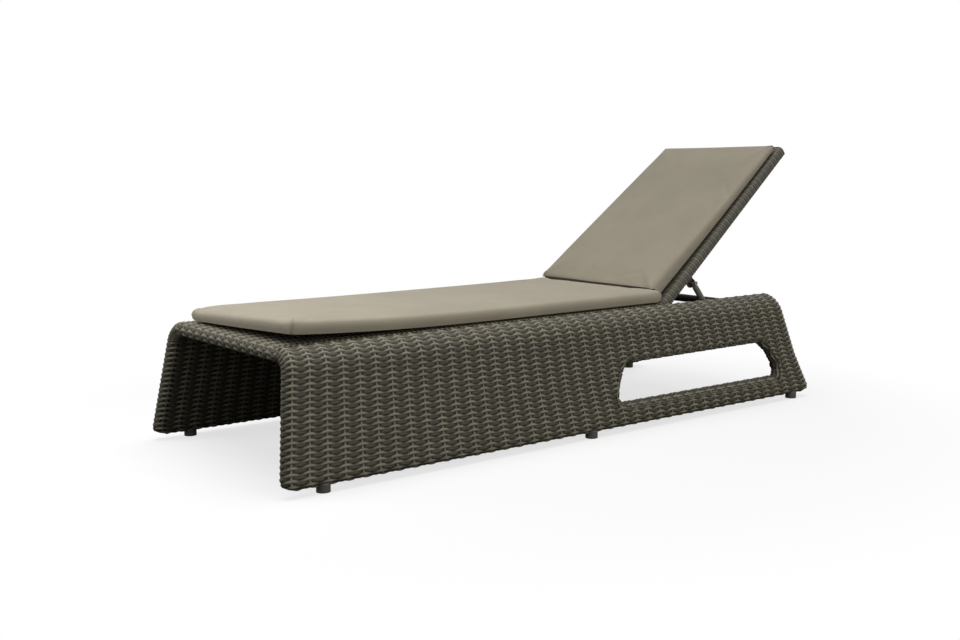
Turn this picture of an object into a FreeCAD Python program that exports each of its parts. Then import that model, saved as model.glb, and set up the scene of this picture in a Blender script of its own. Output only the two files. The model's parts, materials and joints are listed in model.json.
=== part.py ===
"""A woven sun lounger: a base shell on tube frames, a tilting back on a stay, and two loose pads.

X runs along the lounger towards the head end, Y across it and Z up. The floor is Z = 0.
"""
import FreeCAD, Part
import math
import os

doc = FreeCAD.newDocument("sun_lounger")
sheet = doc.addObject("Spreadsheet::Sheet", "Sizes")

# Driving dimensions, in millimetres, and angles in degrees
SIZES = [
    ("foot_edge_x", -1015.3),
    ("base_length", 2017.0),
    ("base_width", 810.0),
    ("deck_height", 351.0),
    ("foot_height", 24.0),
    ("side_splay_deg", 10.1),
    ("foot_lean_deg", 8.0),
    ("head_lean_deg", 16.3),
    ("head_flare_deg", 23.3),
    ("head_flare_height", 126.0),
    ("shoulder_radius", 66.0),
    ("head_corner_radius", 50.0),
    ("bottom_corner_radius", 24.0),
    ("tube_od", 28.0),
    ("rail_od", 25.0),
    ("cross_od", 22.0),
    ("tube_wall", 1.8),
    ("skin", 4.0),
    ("skin_ease", 0.75),
    ("head_bay", 617.0),
    ("slot_lower", 63.0),
    ("slot_height", 117.0),
    ("slot_from_head", 229.0),
    ("slot_top_length", 608.0),
    ("slot_foot_deg", 28.8),
    ("slot_head_deg", 41.2),
    ("slot_radius", 24.0),
    ("mid_leg_gap", 100.0),
    ("head_elbow_from_head", 151.0),
    ("foot_leg_setback", 19.0),
    ("foot_pad_setback", 117.0),
    ("foot_pad_diameter", 36.0),
    ("foot_screw_diameter", 6.0),
    ("foot_screw_length", 40.0),
    ("head_tube_od", 20.0),
    ("head_tube_height", 309.0),
    ("back_angle_deg", 40.7),
    ("back_margin", 135.0),
    ("back_length", 774.0),
    ("back_tail", 16.0),
    ("hinge_gap", 28.0),
    ("side_gap", 8.5),
    ("hinge_pin_diameter", 10.0),
    ("hinge_pin_reach", 26.0),
    ("bush_wall", 2.5),
    ("running_fit", 0.05),
    ("washer_diameter", 26.0),
    ("washer_play", 0.4),
    ("stay_pivot_along", 169.0),
    ("stay_pivot_drop", 51.5),
    ("stay_angle_deg", 51.0),
    ("stay_length", 210.0),
    ("stay_arm_od", 18.0),
    ("stay_arm_inset", 17.0),
    ("stay_end", 9.0),
    ("stay_foot_od", 20.0),
    ("stay_foot_play", 0.5),
    ("stay_pin_diameter", 8.0),
    ("stay_pin_head", 14.0),
    ("stay_pin_head_height", 4.0),
    ("lug_thickness", 5.0),
    ("lug_width", 32.0),
    ("lug_play", 0.3),
    ("rack_thickness", 4.0),
    ("rack_rim", 18.0),
    ("rack_window", 24.0),
    ("rack_top_gap", 8.0),
    ("rack_screw_diameter", 5.0),
    ("rack_screw_length", 14.0),
    ("pad_lift", 0.4),
    ("seat_pad_rear_lap", 10.0),
    ("seat_pad_margin", 119.0),
    ("seat_pad_edge", 33.0),
    ("seat_pad_crown", 42.0),
    ("seat_pad_from_foot", 94.0),
    ("back_pad_top_gap", 53.0),
    ("back_pad_margin", 16.0),
    ("back_pad_edge", 33.0),
    ("back_pad_crown", 44.0),
    ("back_pad_from_hinge", 27.0),
    ("back_pad_turn_deg", 2.0),
    ("pad_corner_radius", 34.0),
    ("pad_cover", 1.6),
    ("overrun", 60.0),
]
for row, (alias, value) in enumerate(SIZES, start=1):
    sheet.set("A%d" % row, alias)
    sheet.set("B%d" % row, str(value))
    sheet.setAlias("B%d" % row, alias)
doc.recompute()

# Angles of the stay's five notches, from flat to upright, as shares of the back's angle in use
NOTCH_ANGLE_SHARES = (0.04, 0.35, 0.68, 1.0, 1.27)
# The stay turns this many degrees against the back for each degree that the back turns
STAY_RATIO = -2.0
# Rise of a pad's profile: share of the half span from the edge, share of the crown's rise
PAD_RISE_SHARES = ((0.0, 0.0), (0.16, 0.55), (0.45, 0.9), (1.0, 1.0))
# How far a pad's rim is drawn in at its top and bottom seams, as a share of its edge height
PAD_DRAW_SHARE = 0.22
# Heights in a foot, as shares of its own: the screw head's seat, the head's lower end, the rounded rim
FOOT_SEAT_SHARE = 0.5
FOOT_HEAD_SHARE = 0.25
FOOT_RIM_SHARE = 0.125
# Where a leg starts above the bottom skin, as a share of the tube's diameter
LEG_START_SHARE = 0.25
# Place of the tube under the sitter's lower back, as a share of the way to the stay's tube
SEAT_TUBE_SHARE = 0.5


def size(alias):
    return float(sheet.get(alias))


def vec(x, y, z):
    return FreeCAD.Vector(x, y, z)


def tan_deg(angle):
    return math.tan(math.radians(angle))


def cos_deg(angle):
    return math.cos(math.radians(angle))


def sin_deg(angle):
    return math.sin(math.radians(angle))


# Section of the shell: two splayed sides joined to the deck by round shoulders
OVER = size("overrun")
BOTTOM = size("foot_height")
DECK = size("deck_height")
SPLAY = size("side_splay_deg")
SHELL = size("tube_od") + 2 * (size("skin") + size("skin_ease"))
ROUND = size("shoulder_radius")
ROUND_Z = DECK - ROUND
ROUND_Y = size("base_width") / 2 - (ROUND + (ROUND_Z - BOTTOM) * sin_deg(SPLAY)) / cos_deg(SPLAY)
MID = SHELL / 2
TUBE = size("tube_od")
FOOT_X = size("foot_edge_x")
HEAD_X = FOOT_X + size("base_length")
DECK_REAR = HEAD_X - size("head_bay")
HINGE = vec(DECK_REAR + size("hinge_gap"), 0, DECK - MID)
BACK_HALF = size("base_width") / 2 - size("back_margin")
RAIL_INNER = BACK_HALF + size("side_gap")
RAIL_Y = RAIL_INNER + MID
RAIL_Z = DECK - MID
BACK_ANGLE = size("back_angle_deg")
SIDES = (("left", -1), ("right", 1))

parts = []


def keep(obj, label):
    obj.Label = label
    parts.append(obj)
    return obj


def feature(name, shape):
    obj = doc.addObject("Part::Feature", name)
    obj.Shape = shape
    return obj


def side_y(depth, z):
    """Half width of the side at height z, a depth inside its outer face."""
    return size("base_width") / 2 - depth / cos_deg(SPLAY) - tan_deg(SPLAY) * (z - BOTTOM)


def band(depth_out, depth_in):
    """The shell's section between two depths, run along the whole length and past both ends."""
    low = -OVER
    start = FOOT_X - OVER
    edges = []
    ends = []
    for depth in (depth_out, depth_in):
        radius = ROUND - depth
        chain = []
        for sign in (-1, 1):
            foot = vec(start, sign * side_y(depth, low), low)
            turn = vec(start, sign * (ROUND_Y + radius * cos_deg(SPLAY)), ROUND_Z + radius * sin_deg(SPLAY))
            half = math.radians((SPLAY + 90) / 2)
            middle = vec(start, sign * (ROUND_Y + radius * math.cos(half)), ROUND_Z + radius * math.sin(half))
            top = vec(start, sign * ROUND_Y, ROUND_Z + radius)
            edges.append(Part.LineSegment(foot, turn).toShape())
            edges.append(Part.Arc(turn, middle, top).toShape())
            chain.append((foot, top))
        edges.append(Part.LineSegment(chain[0][1], chain[1][1]).toShape())
        ends.append((chain[0][0], chain[1][0]))
    for side in (0, 1):
        edges.append(Part.LineSegment(ends[0][side], ends[1][side]).toShape())
    wire = Part.Wire(Part.__sortEdges__(edges))
    return Part.Face(wire).extrude(vec(size("base_length") + 4 * OVER, 0, 0))


def rounded_wire(points, radii):
    """A closed outline through points, with each corner rounded by an arc of its radius."""
    edges = []
    count = len(points)
    joints = []
    for index in range(count):
        corner = points[index]
        before = (points[index - 1] - corner).normalize()
        after = (points[(index + 1) % count] - corner).normalize()
        radius = radii[index]
        if radius <= 0:
            joints.append((corner, None, corner))
            continue
        angle = before.getAngle(after)
        reach = radius / math.tan(angle / 2)
        inward = (before + after).normalize()
        middle = corner + inward * (radius / math.sin(angle / 2) - radius)
        joints.append((corner + before * reach, middle, corner + after * reach))
    for index in range(count):
        first, middle, last = joints[index]
        if middle is not None:
            edges.append(Part.Arc(first, middle, last).toShape())
        edges.append(Part.LineSegment(last, joints[(index + 1) % count][0]).toShape())
    return Part.Wire(edges)


def outline(inset):
    """The base seen from the side, drawn in by an inset, as a block that runs right across."""
    y = -size("base_width")
    foot_tan = tan_deg(size("foot_lean_deg"))
    head_tan = tan_deg(size("head_lean_deg"))
    flare_tan = tan_deg(size("head_flare_deg"))
    low = BOTTOM + inset
    high = DECK - inset
    foot_shift = inset / cos_deg(size("foot_lean_deg"))
    head_shift = inset / cos_deg(size("head_lean_deg"))
    flare_shift = inset / cos_deg(size("head_flare_deg"))
    knee_z = BOTTOM + size("head_flare_height")
    knee_x = HEAD_X - flare_tan * size("head_flare_height")

    def foot_at(z):
        return FOOT_X + foot_tan * (z - BOTTOM) + foot_shift

    def head_at(z):
        return knee_x - head_tan * (z - knee_z) - head_shift

    def flare_at(z):
        return HEAD_X - flare_tan * (z - BOTTOM) - flare_shift

    points = [
        vec(foot_at(low), y, low),
        vec(foot_at(high), y, high),
        vec(head_at(high), y, high),
        vec(head_at(knee_z), y, knee_z),
        vec(flare_at(low), y, low),
    ]
    corner = size("bottom_corner_radius") - inset
    radii = [corner, 0, size("head_corner_radius") - inset, 0, corner]
    return Part.Face(rounded_wire(points, radii)).extrude(vec(0, -2 * y, 0))


def slot_block(outset):
    """The hand slot as a block that runs right across, widened by an outset."""
    y = -size("base_width")
    low = BOTTOM + size("slot_lower") - outset
    high = BOTTOM + size("slot_lower") + size("slot_height") + outset
    top = BOTTOM + size("slot_lower") + size("slot_height")
    head_x = HEAD_X - size("slot_from_head")
    foot_x = head_x - size("slot_top_length")
    foot_tan = tan_deg(size("slot_foot_deg"))
    head_tan = tan_deg(size("slot_head_deg"))

    def foot_at(z):
        return foot_x - foot_tan * (top - z) - outset / cos_deg(size("slot_foot_deg"))

    def head_at(z):
        return head_x + head_tan * (top - z) + outset / cos_deg(size("slot_head_deg"))

    points = [
        vec(foot_at(low), y, low),
        vec(foot_at(high), y, high),
        vec(head_at(high), y, high),
        vec(head_at(low), y, low),
    ]
    radii = [size("slot_radius") + outset] * 4
    return Part.Face(rounded_wire(points, radii)).extrude(vec(0, -2 * y, 0))


def block(low, high):
    """A box between two opposite corners."""
    return Part.makeBox(high.x - low.x, high.y - low.y, high.z - low.z, low)


def rod(name, start, end, radius):
    """A round bar between two points. Its radius is an expression on the sheet."""
    axis = end - start
    obj = doc.addObject("Part::Cylinder", name)
    obj.setExpression("Radius", radius)
    obj.Height = axis.Length
    obj.Placement = FreeCAD.Placement(start, FreeCAD.Rotation(vec(0, 0, 1), axis))
    return obj


def bar_of(name, start, end, alias):
    """A round bar whose diameter is a cell of the sheet."""
    return rod(name, start, end, "Sizes.%s / 2" % alias)


def cut(name, base, *tools):
    """A piece with every tool taken out of it, one after the other."""
    for index, tool in enumerate(tools, start=1):
        obj = doc.addObject("Part::Cut", name if index == len(tools) else "%s_cut_%d" % (name, index))
        obj.Base = base
        obj.Tool = tool
        base = obj
    doc.recompute()
    return base


def fuse(name, *pieces):
    obj = doc.addObject("Part::MultiFuse", name)
    obj.Shapes = list(pieces)
    obj.Refine = True
    doc.recompute()
    return obj


def group(name, pieces):
    obj = doc.addObject("Part::Compound", name)
    obj.Links = list(pieces)
    doc.recompute()
    return obj


def tube(name, start, end, alias, *tools):
    """A hollow tube between two points, trimmed by the pieces that it meets."""
    outside = bar_of(name + "_outside", start, end, alias)
    bore = rod(name + "_bore", start, end, "Sizes.%s / 2 - Sizes.tube_wall" % alias)
    return cut(name, outside, bore, *tools)


def longest(shape):
    """The main run of a trimmed tube, without the scraps beyond its joints."""
    return max(shape.Solids, key=lambda piece: piece.Volume)


def back_placement(angle):
    """Place of the back's own frame: X up the back from the hinge, Z out of its front."""
    return FreeCAD.Placement(HINGE, FreeCAD.Rotation(vec(0, 1, 0), -angle))


def placed(shape, placement):
    moved = shape.copy()
    moved.Placement = placement.multiply(moved.Placement)
    return moved


def stay_pivot(angle):
    return back_placement(angle).multVec(vec(size("stay_pivot_along"), 0, -size("stay_pivot_drop")))


def stay_foot(angle):
    """Axis of the stay's foot tube when the back stands at an angle."""
    down = size("stay_angle_deg") - (STAY_RATIO + 1) * (angle - BACK_ANGLE)
    return stay_pivot(angle) + vec(cos_deg(down), 0, -sin_deg(down)) * size("stay_length")


# Tubes of the base frame, as straight or bent runs on the middle of the shell
def leg_run(x_top, lean, sign):
    """Axis of a leg, from the bottom wall up to where the shoulder starts to bend."""
    radius = ROUND - MID
    top_z = ROUND_Z + radius * sin_deg(SPLAY)
    low_z = BOTTOM + size("skin") + LEG_START_SHARE * TUBE
    low = vec(x_top + lean * (top_z - low_z), sign * side_y(MID, low_z), low_z)
    return low, vec(x_top, sign * (ROUND_Y + radius * cos_deg(SPLAY)), top_z)


def bow_path(x, inner_y, signs):
    """Path of a bow in one upright plane: a shoulder bend at each named side and a run across."""
    radius = ROUND - MID
    edges = []
    tops = []
    for sign in signs:
        turn = vec(x, sign * (ROUND_Y + radius * cos_deg(SPLAY)), ROUND_Z + radius * sin_deg(SPLAY))
        half = math.radians((SPLAY + 90) / 2)
        middle = vec(x, sign * (ROUND_Y + radius * math.cos(half)), ROUND_Z + radius * math.sin(half))
        top = vec(x, sign * ROUND_Y, RAIL_Z)
        edges.append(Part.Arc(turn, middle, top).toShape())
        tops.append((sign, top))
    if len(tops) == 2:
        edges.append(Part.LineSegment(tops[0][1], tops[1][1]).toShape())
    else:
        sign, top = tops[0]
        edges.append(Part.LineSegment(top, vec(x, sign * inner_y, RAIL_Z)).toShape())
    return Part.Wire(Part.__sortEdges__(edges))


def bent_bar(path, diameter):
    edge = path.OrderedEdges[0]
    start = path.OrderedVertexes[0].Point
    tangent = edge.tangentAt(edge.FirstParameter if edge.Orientation == "Forward" else edge.LastParameter)
    ring = Part.Wire(Part.makeCircle(diameter / 2, start, tangent))
    return path.makePipeShell([ring], True, False)


RAIL = size("rail_od")
FOOT_BOW_X = FOOT_X + tan_deg(size("foot_lean_deg")) * (DECK - BOTTOM) + size("foot_leg_setback")
SLOT_FOOT_X = HEAD_X - size("slot_from_head") - size("slot_top_length")
MID_X = SLOT_FOOT_X - tan_deg(size("slot_foot_deg")) * size("slot_height") - size("mid_leg_gap")
ELBOW_X = HEAD_X - size("head_elbow_from_head")
HEAD_LEAN = tan_deg(size("head_lean_deg"))
ARCHES = (
    ("foot", FOOT_BOW_X, -tan_deg(size("foot_lean_deg"))),
    ("mid", MID_X, 0.0),
    ("head", ELBOW_X, HEAD_LEAN),
)

bows = {}
for place, x in (("foot", FOOT_BOW_X), ("mid", MID_X)):
    path = bow_path(x, 0, (-1, 1))
    bows[place] = feature(place + "_bow_outside", bent_bar(path, TUBE))
    bore = feature(place + "_bow_bore", bent_bar(path, TUBE - 2 * size("tube_wall")))
    keep(cut(place + "_bow", bows[place], bore), place + "_bow")
for side, sign in SIDES:
    path = bow_path(ELBOW_X, RAIL_Y - RAIL / 2, (sign,))
    bows["head", side] = feature("head_elbow_outside_" + side, bent_bar(path, TUBE))
    bore = feature("head_elbow_bore_" + side, bent_bar(path, TUBE - 2 * size("tube_wall")))
    keep(cut("head_elbow_" + side, bows["head", side], bore), "head_elbow_" + side)

legs = {}
for place, x_top, lean in ARCHES:
    for side, sign in SIDES:
        low, top = leg_run(x_top, lean, sign)
        name = place + "_leg_" + side
        meets = bows["head", side] if place == "head" else bows[place]
        keep(tube(name, low, top, "tube_od", meets), name)
        legs[place, side] = doc.getObject(name + "_outside")

# Six feet, each held by a screw up into the frame
foot_xs = (
    FOOT_X + size("foot_pad_setback"),
    MID_X,
    leg_run(ELBOW_X, HEAD_LEAN, 1)[0].x,
)
feet = []
screws = {"left": [], "right": []}
shanks = []
for side, sign in SIDES:
    for number, x in enumerate(foot_xs, start=1):
        tag = "_%s_%d" % (side, number)
        base = vec(x, sign * side_y(MID, BOTTOM), 0)
        seat = base + vec(0, 0, FOOT_SEAT_SHARE * BOTTOM)
        shank = bar_of("screw_shank" + tag, seat, seat + vec(0, 0, size("foot_screw_length")), "foot_screw_diameter")
        shank.setExpression("Height", "Sizes.foot_screw_length")
        head = rod("screw_head" + tag, base + vec(0, 0, FOOT_HEAD_SHARE * BOTTOM), seat, "Sizes.foot_screw_diameter")
        recess = rod("foot_recess" + tag, base, seat, "Sizes.foot_screw_diameter")
        blank = bar_of("foot_blank" + tag, base, base + vec(0, 0, BOTTOM), "foot_pad_diameter")
        blank.setExpression("Height", "Sizes.foot_height")
        rim = doc.addObject("Part::Fillet", "foot_rim" + tag)
        rim.Base = blank
        rim.Edges = [(3, FOOT_RIM_SHARE * BOTTOM, FOOT_RIM_SHARE * BOTTOM)]
        feet.append(cut("foot" + tag, rim, recess, shank))
        screws[side].append(fuse("foot_screw" + tag, shank, head))
        shanks.append(shank)
keep(group("feet", feet), "feet")
keep(group("foot_screws", screws["left"] + screws["right"]), "foot_screws")

# Rails along the deck and the head bay, cross tubes, and rails along the bottom and over the slot
rails = {}
hinge_lines = {}
for side, sign in SIDES:
    ends = [vec(x, sign * RAIL_Y, RAIL_Z) for x in (FOOT_BOW_X, MID_X, ELBOW_X)]
    hinge_lines[side] = bar_of("hinge_line_" + side, HINGE, HINGE + vec(0, sign * (RAIL_Y + TUBE), 0),
                               "hinge_pin_diameter")
    keep(tube("seat_rail_" + side, ends[0], ends[1], "rail_od", bows["foot"], bows["mid"]), "seat_rail_" + side)
    rails["seat", side] = doc.getObject("seat_rail_" + side + "_outside")
    rails["head", side] = bar_of("head_rail_bar_" + side, ends[1], ends[2], "rail_od")

rail_low_z = BOTTOM + size("skin") + size("skin_ease") + TUBE / 2
slot_bar_z = BOTTOM + size("slot_lower") + size("slot_height") + MID
for side, sign in SIDES:
    runs = []
    feet_x = [leg_run(x_top, lean, sign)[0].x for place, x_top, lean in ARCHES]
    side_legs = [legs[place, side] for place, x_top, lean in ARCHES]
    for number in (0, 1):
        ends = [vec(x, sign * side_y(MID, rail_low_z), rail_low_z) for x in feet_x[number:number + 2]]
        name = "bottom_run_%s_%d" % (side, number + 1)
        run = tube(name, ends[0], ends[1], "rail_od", side_legs[number], side_legs[number + 1], *screws[side])
        runs.append(feature(name + "_trimmed", longest(run.Shape)))
    keep(group("bottom_rail_" + side, runs), "bottom_rail_" + side)
    low, top = leg_run(ELBOW_X, HEAD_LEAN, sign)
    leg_x = low.x + (top.x - low.x) * (slot_bar_z - low.z) / (top.z - low.z)
    y = sign * side_y(MID, slot_bar_z)
    slot_bar = tube("slot_bar_run_" + side, vec(MID_X, y, slot_bar_z), vec(leg_x, y, slot_bar_z), "rail_od",
                    legs["mid", side], legs["head", side])
    keep(feature("slot_bar_" + side, longest(slot_bar.Shape)), "slot_bar_" + side)

for label, x in (("deck_cross_tube", (FOOT_BOW_X + MID_X) / 2), ("hinge_cross_tube", DECK_REAR - MID)):
    row = "seat" if x < MID_X else "head"
    keep(tube(label, vec(x, -RAIL_Y, RAIL_Z), vec(x, RAIL_Y, RAIL_Z), "cross_od",
              rails[row, "left"], rails[row, "right"]), label)

# The head cross tube joins the two elbows, in a woven sleeve between the shells
head_z = size("head_tube_height")
head_ends = [vec(ELBOW_X, sign * side_y(MID, head_z), head_z) for side, sign in SIDES]
head_run = tube("head_tube_run", head_ends[0], head_ends[1], "head_tube_od", bows["head", "left"],
                bows["head", "right"], legs["head", "left"], legs["head", "right"])
keep(feature("head_cross_tube", longest(head_run.Shape)), "head_cross_tube")
head_bar = doc.getObject("head_tube_run_outside")

# The woven shell: a hollow band on both faces of the frame, closed at every edge
wall = size("skin")
far_x = HEAD_X + OVER
well = block(vec(DECK_REAR, -RAIL_INNER, BOTTOM), vec(far_x, RAIL_INNER, DECK + OVER))
well_wall = block(vec(DECK_REAR - wall, -RAIL_INNER - wall, BOTTOM), vec(far_x, RAIL_INNER + wall, DECK + OVER))
solid_shell = band(0, SHELL).common(outline(0)).cut(slot_block(0)).cut(well)
cavity = band(wall, SHELL - wall).common(outline(wall)).cut(slot_block(wall)).cut(well_wall)
shell_blank = feature("shell_blank", solid_shell.cut(cavity))
head_hole = rod("head_hole", head_ends[0], head_ends[1], "(Sizes.head_tube_od + Sizes.skin_ease) / 2")
pin_holes = [rod("pin_hole_" + side, HINGE, HINGE + vec(0, sign * RAIL_Y, 0),
                 "Sizes.hinge_pin_diameter / 2 + Sizes.skin_ease") for side, sign in SIDES]
shell = cut("shell", shell_blank, head_hole, *(pin_holes + shanks))

sleeve_blank = rod("sleeve_blank", head_ends[0], head_ends[1], "Sizes.head_tube_od / 2 + Sizes.skin")
sleeve = cut("sleeve_run", sleeve_blank, head_bar, feature("solid_shell", solid_shell))
keep(feature("head_tube_sleeve", longest(sleeve.Shape)), "head_tube_sleeve")

# The tilting back: a tube frame in a hollow woven panel, placed by its own frame at the hinge
tail = -size("back_tail")
crown_x = size("back_length")
place = back_placement(BACK_ANGLE)


def on_panel(obj, local):
    obj.Placement = place.multiply(FreeCAD.Placement(local, FreeCAD.Rotation()))
    return obj


def panel_bar(name, start, end, radius):
    return rod(name, place.multVec(start), place.multVec(end), radius)


panel = doc.addObject("Part::Box", "panel_blank")
panel.setExpression("Length", "Sizes.back_length + Sizes.back_tail")
panel.setExpression("Width", "Sizes.base_width - 2 * Sizes.back_margin")
panel.setExpression("Height", "Sizes.tube_od + 2 * (Sizes.skin + Sizes.skin_ease)")
on_panel(panel, vec(tail, -BACK_HALF, -MID))
hollow = doc.addObject("Part::Box", "panel_hollow")
hollow.setExpression("Length", "Sizes.back_length + Sizes.back_tail - 2 * Sizes.skin")
hollow.setExpression("Width", "Sizes.base_width - 2 * Sizes.back_margin - 2 * Sizes.skin")
hollow.setExpression("Height", "Sizes.tube_od + 2 * Sizes.skin_ease")
on_panel(hollow, vec(tail + wall, -BACK_HALF + wall, -MID + wall))
panel_tools = [hollow]

inset = wall + size("skin_ease") + TUBE / 2
rail_y = BACK_HALF - inset
side_bars = {}
for side, sign in SIDES:
    bush_ends = (vec(0, sign * (rail_y - TUBE / 2), 0), vec(0, sign * BACK_HALF, 0))
    bush_line = panel_bar("bush_line_" + side, bush_ends[0], bush_ends[1],
                          "Sizes.hinge_pin_diameter / 2 + Sizes.running_fit + Sizes.bush_wall")
    bush_bore = panel_bar("bush_bore_" + side, vec(0, 0, 0), bush_ends[1],
                          "Sizes.hinge_pin_diameter / 2 + Sizes.running_fit")
    keep(cut("hinge_bush_" + side, bush_line, bush_bore), "hinge_bush_" + side)
    panel_tools.append(bush_line)
    ends = [place.multVec(vec(x, sign * rail_y, 0))
            for x in (tail + wall + size("skin_ease"), crown_x - wall - size("skin_ease"))]
    keep(tube("back_side_tube_" + side, ends[0], ends[1], "tube_od", bush_line), "back_side_tube_" + side)
    side_bars[side] = doc.getObject("back_side_tube_" + side + "_outside")

pivot_x = size("stay_pivot_along")
cross_runs = (
    ("back_top_tube", crown_x - inset),
    ("back_middle_tube", pivot_x),
    ("back_seat_tube", SEAT_TUBE_SHARE * pivot_x),
)
for label, x in cross_runs:
    ends = [place.multVec(vec(x, side * rail_y, 0)) for side in (-1, 1)]
    keep(tube(label, ends[0], ends[1], "rail_od", side_bars["left"], side_bars["right"]), label)
middle_bar = doc.getObject("back_middle_tube_outside")

# Lugs under the back's tubes, with the pins that carry the stay
arm_y = BACK_HALF - size("stay_arm_inset")
lug_y = arm_y - size("stay_arm_od") / 2 - size("lug_play") - size("lug_thickness")
drop = size("stay_pivot_drop")
half = size("lug_width") / 2
stay_pins = []
for side, sign in SIDES:
    y_low = min(sign * lug_y, sign * (lug_y + size("lug_thickness")))
    plate = doc.addObject("Part::Box", "lug_plate_" + side)
    plate.setExpression("Length", "Sizes.lug_width")
    plate.setExpression("Width", "Sizes.lug_thickness")
    plate.setExpression("Height", "Sizes.stay_pivot_drop")
    on_panel(plate, vec(pivot_x - half, y_low, -drop))
    eye = panel_bar("lug_eye_" + side, vec(pivot_x, y_low, -drop),
                    vec(pivot_x, y_low + size("lug_thickness"), -drop), "Sizes.lug_width / 2")
    pin_in = vec(pivot_x, sign * (lug_y - size("lug_play")), -drop)
    pin_out = vec(pivot_x, sign * (arm_y + size("stay_arm_od") / 2 + size("lug_play")), -drop)
    cap = vec(0, sign * size("stay_pin_head_height"), 0)
    pin = panel_bar("stay_pin_shank_" + side, pin_in, pin_out, "Sizes.stay_pin_diameter / 2")
    head = panel_bar("stay_pin_head_" + side, pin_out, pin_out + cap, "Sizes.stay_pin_head / 2")
    clip = panel_bar("stay_pin_clip_" + side, pin_in - cap, pin_in, "Sizes.stay_pin_head / 2")
    stay_pins.append(fuse("stay_pin_" + side, pin, head, clip))
    lug = cut("lug_run_" + side, fuse("lug_blank_" + side, plate, eye), middle_bar, side_bars[side], pin)
    keep(feature("stay_lug_" + side, longest(lug.Shape)), "stay_lug_" + side)
    gap = doc.addObject("Part::Box", "lug_gap_" + side)
    gap.setExpression("Length", "Sizes.lug_width + 2 * Sizes.skin_ease")
    gap.setExpression("Width", "Sizes.lug_thickness + 2 * Sizes.lug_play")
    gap.setExpression("Height", "Sizes.tube_od / 2 + Sizes.skin_ease + 2 * Sizes.skin")
    on_panel(gap, vec(pivot_x - half - size("skin_ease"), y_low - size("lug_play"), -MID - wall))
    panel_tools.append(gap)
keep(group("stay_pins", stay_pins), "stay_pins")
keep(cut("back_weave", panel, *panel_tools), "back_weave")

# Hinge pins fixed in the head rails, with a washer in each side gap
pins = []
washers = []
for side, sign in SIDES:
    pin = bar_of("hinge_pin_" + side, HINGE + vec(0, sign * (BACK_HALF - size("hinge_pin_reach")), 0),
                 HINGE + vec(0, sign * (RAIL_Y + RAIL / 2), 0), "hinge_pin_diameter")
    pins.append(pin)
    blank = bar_of("washer_blank_" + side, HINGE + vec(0, sign * (BACK_HALF + size("washer_play")), 0),
                   HINGE + vec(0, sign * RAIL_INNER, 0), "washer_diameter")
    blank.setExpression("Height", "Sizes.side_gap - Sizes.washer_play")
    washers.append(cut("hinge_washer_" + side, blank, pin))
keep(group("hinge_pins", pins), "hinge_pins")
keep(group("hinge_washers", washers), "hinge_washers")

# The stay: two arms and a foot tube whose ends stop just short of the racks
pivot = stay_pivot(BACK_ANGLE)
foot = stay_foot(BACK_ANGLE)
along = (foot - pivot).normalize()
rack_y = RAIL_INNER - size("rack_thickness")
foot_end = vec(0, rack_y - size("stay_foot_play"), 0)
keep(tube("stay_foot_tube", foot - foot_end, foot + foot_end, "stay_foot_od"), "stay_foot_tube")
foot_bar = doc.getObject("stay_foot_tube_outside")
for side, sign in SIDES:
    shift = vec(0, sign * arm_y, 0)
    eye = rod("stay_eye_" + side, pivot, pivot + shift * 2, "Sizes.stay_pin_diameter / 2 + Sizes.running_fit")
    arm = tube("stay_run_" + side, pivot + shift - along * size("stay_end"), foot + shift, "stay_arm_od",
               foot_bar, eye)
    keep(feature("stay_arm_" + side, longest(arm.Shape)), "stay_arm_" + side)

# Notched racks on the inner faces of the head rails
notches = [stay_foot(BACK_ANGLE * share) for share in NOTCH_ANGLE_SHARES]
rim = size("rack_rim")
notch_low = min(notch.z for notch in notches)
rack_from = min(notch.x for notch in notches) - size("stay_foot_od") / 2 - rim
rack_to = max(notch.x for notch in notches) + size("stay_foot_od") / 2 + rim
rack_low = notch_low - size("stay_foot_od") / 2 - rim
rack_high = DECK - size("rack_top_gap")
window_high = max(notch.z for notch in notches) + size("rack_window")
rack_screws = {"left": [], "right": []}
for side, sign in SIDES:
    y_low = min(sign * rack_y, sign * RAIL_INNER)
    plate = doc.addObject("Part::Box", "rack_plate_" + side)
    plate.Length = rack_to - rack_from
    plate.setExpression("Width", "Sizes.rack_thickness")
    plate.Height = rack_high - rack_low
    plate.Placement.Base = vec(rack_from, y_low, rack_low)
    window = doc.addObject("Part::Box", "rack_window_" + side)
    window.Length = rack_to - rack_from - 2 * rim
    window.setExpression("Width", "Sizes.rack_thickness")
    window.Height = window_high - notch_low
    window.Placement.Base = vec(rack_from + rim, y_low, notch_low)
    tools = [window]
    for number, notch in enumerate(notches, start=1):
        start = vec(notch.x, y_low, notch.z)
        tools.append(bar_of("notch_%s_%d" % (side, number), start, start + vec(0, size("rack_thickness"), 0),
                            "stay_foot_od"))
    for number, x in enumerate((rack_from + rim, rack_to - rim), start=1):
        tag = "_%s_%d" % (side, number)
        start = vec(x, sign * rack_y, RAIL_Z)
        shank = bar_of("rack_shank" + tag, start, start + vec(0, sign * size("rack_screw_length"), 0),
                       "rack_screw_diameter")
        shank.setExpression("Height", "Sizes.rack_screw_length")
        head = doc.addObject("Part::Cone", "rack_head" + tag)
        head.setExpression("Radius1", "Sizes.rack_screw_diameter")
        head.setExpression("Radius2", "Sizes.rack_screw_diameter / 2")
        head.setExpression("Height", "Sizes.rack_screw_diameter / 2")
        head.Placement = shank.Placement
        rack_screws[side].append(fuse("rack_screw" + tag, shank, head))
    plate = cut("rack_run_" + side, plate, *(tools + rack_screws[side]))
    keep(feature("stay_rack_" + side, longest(plate.Shape)), "stay_rack_" + side)
keep(group("rack_screws", rack_screws["left"] + rack_screws["right"]), "rack_screws")

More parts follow.
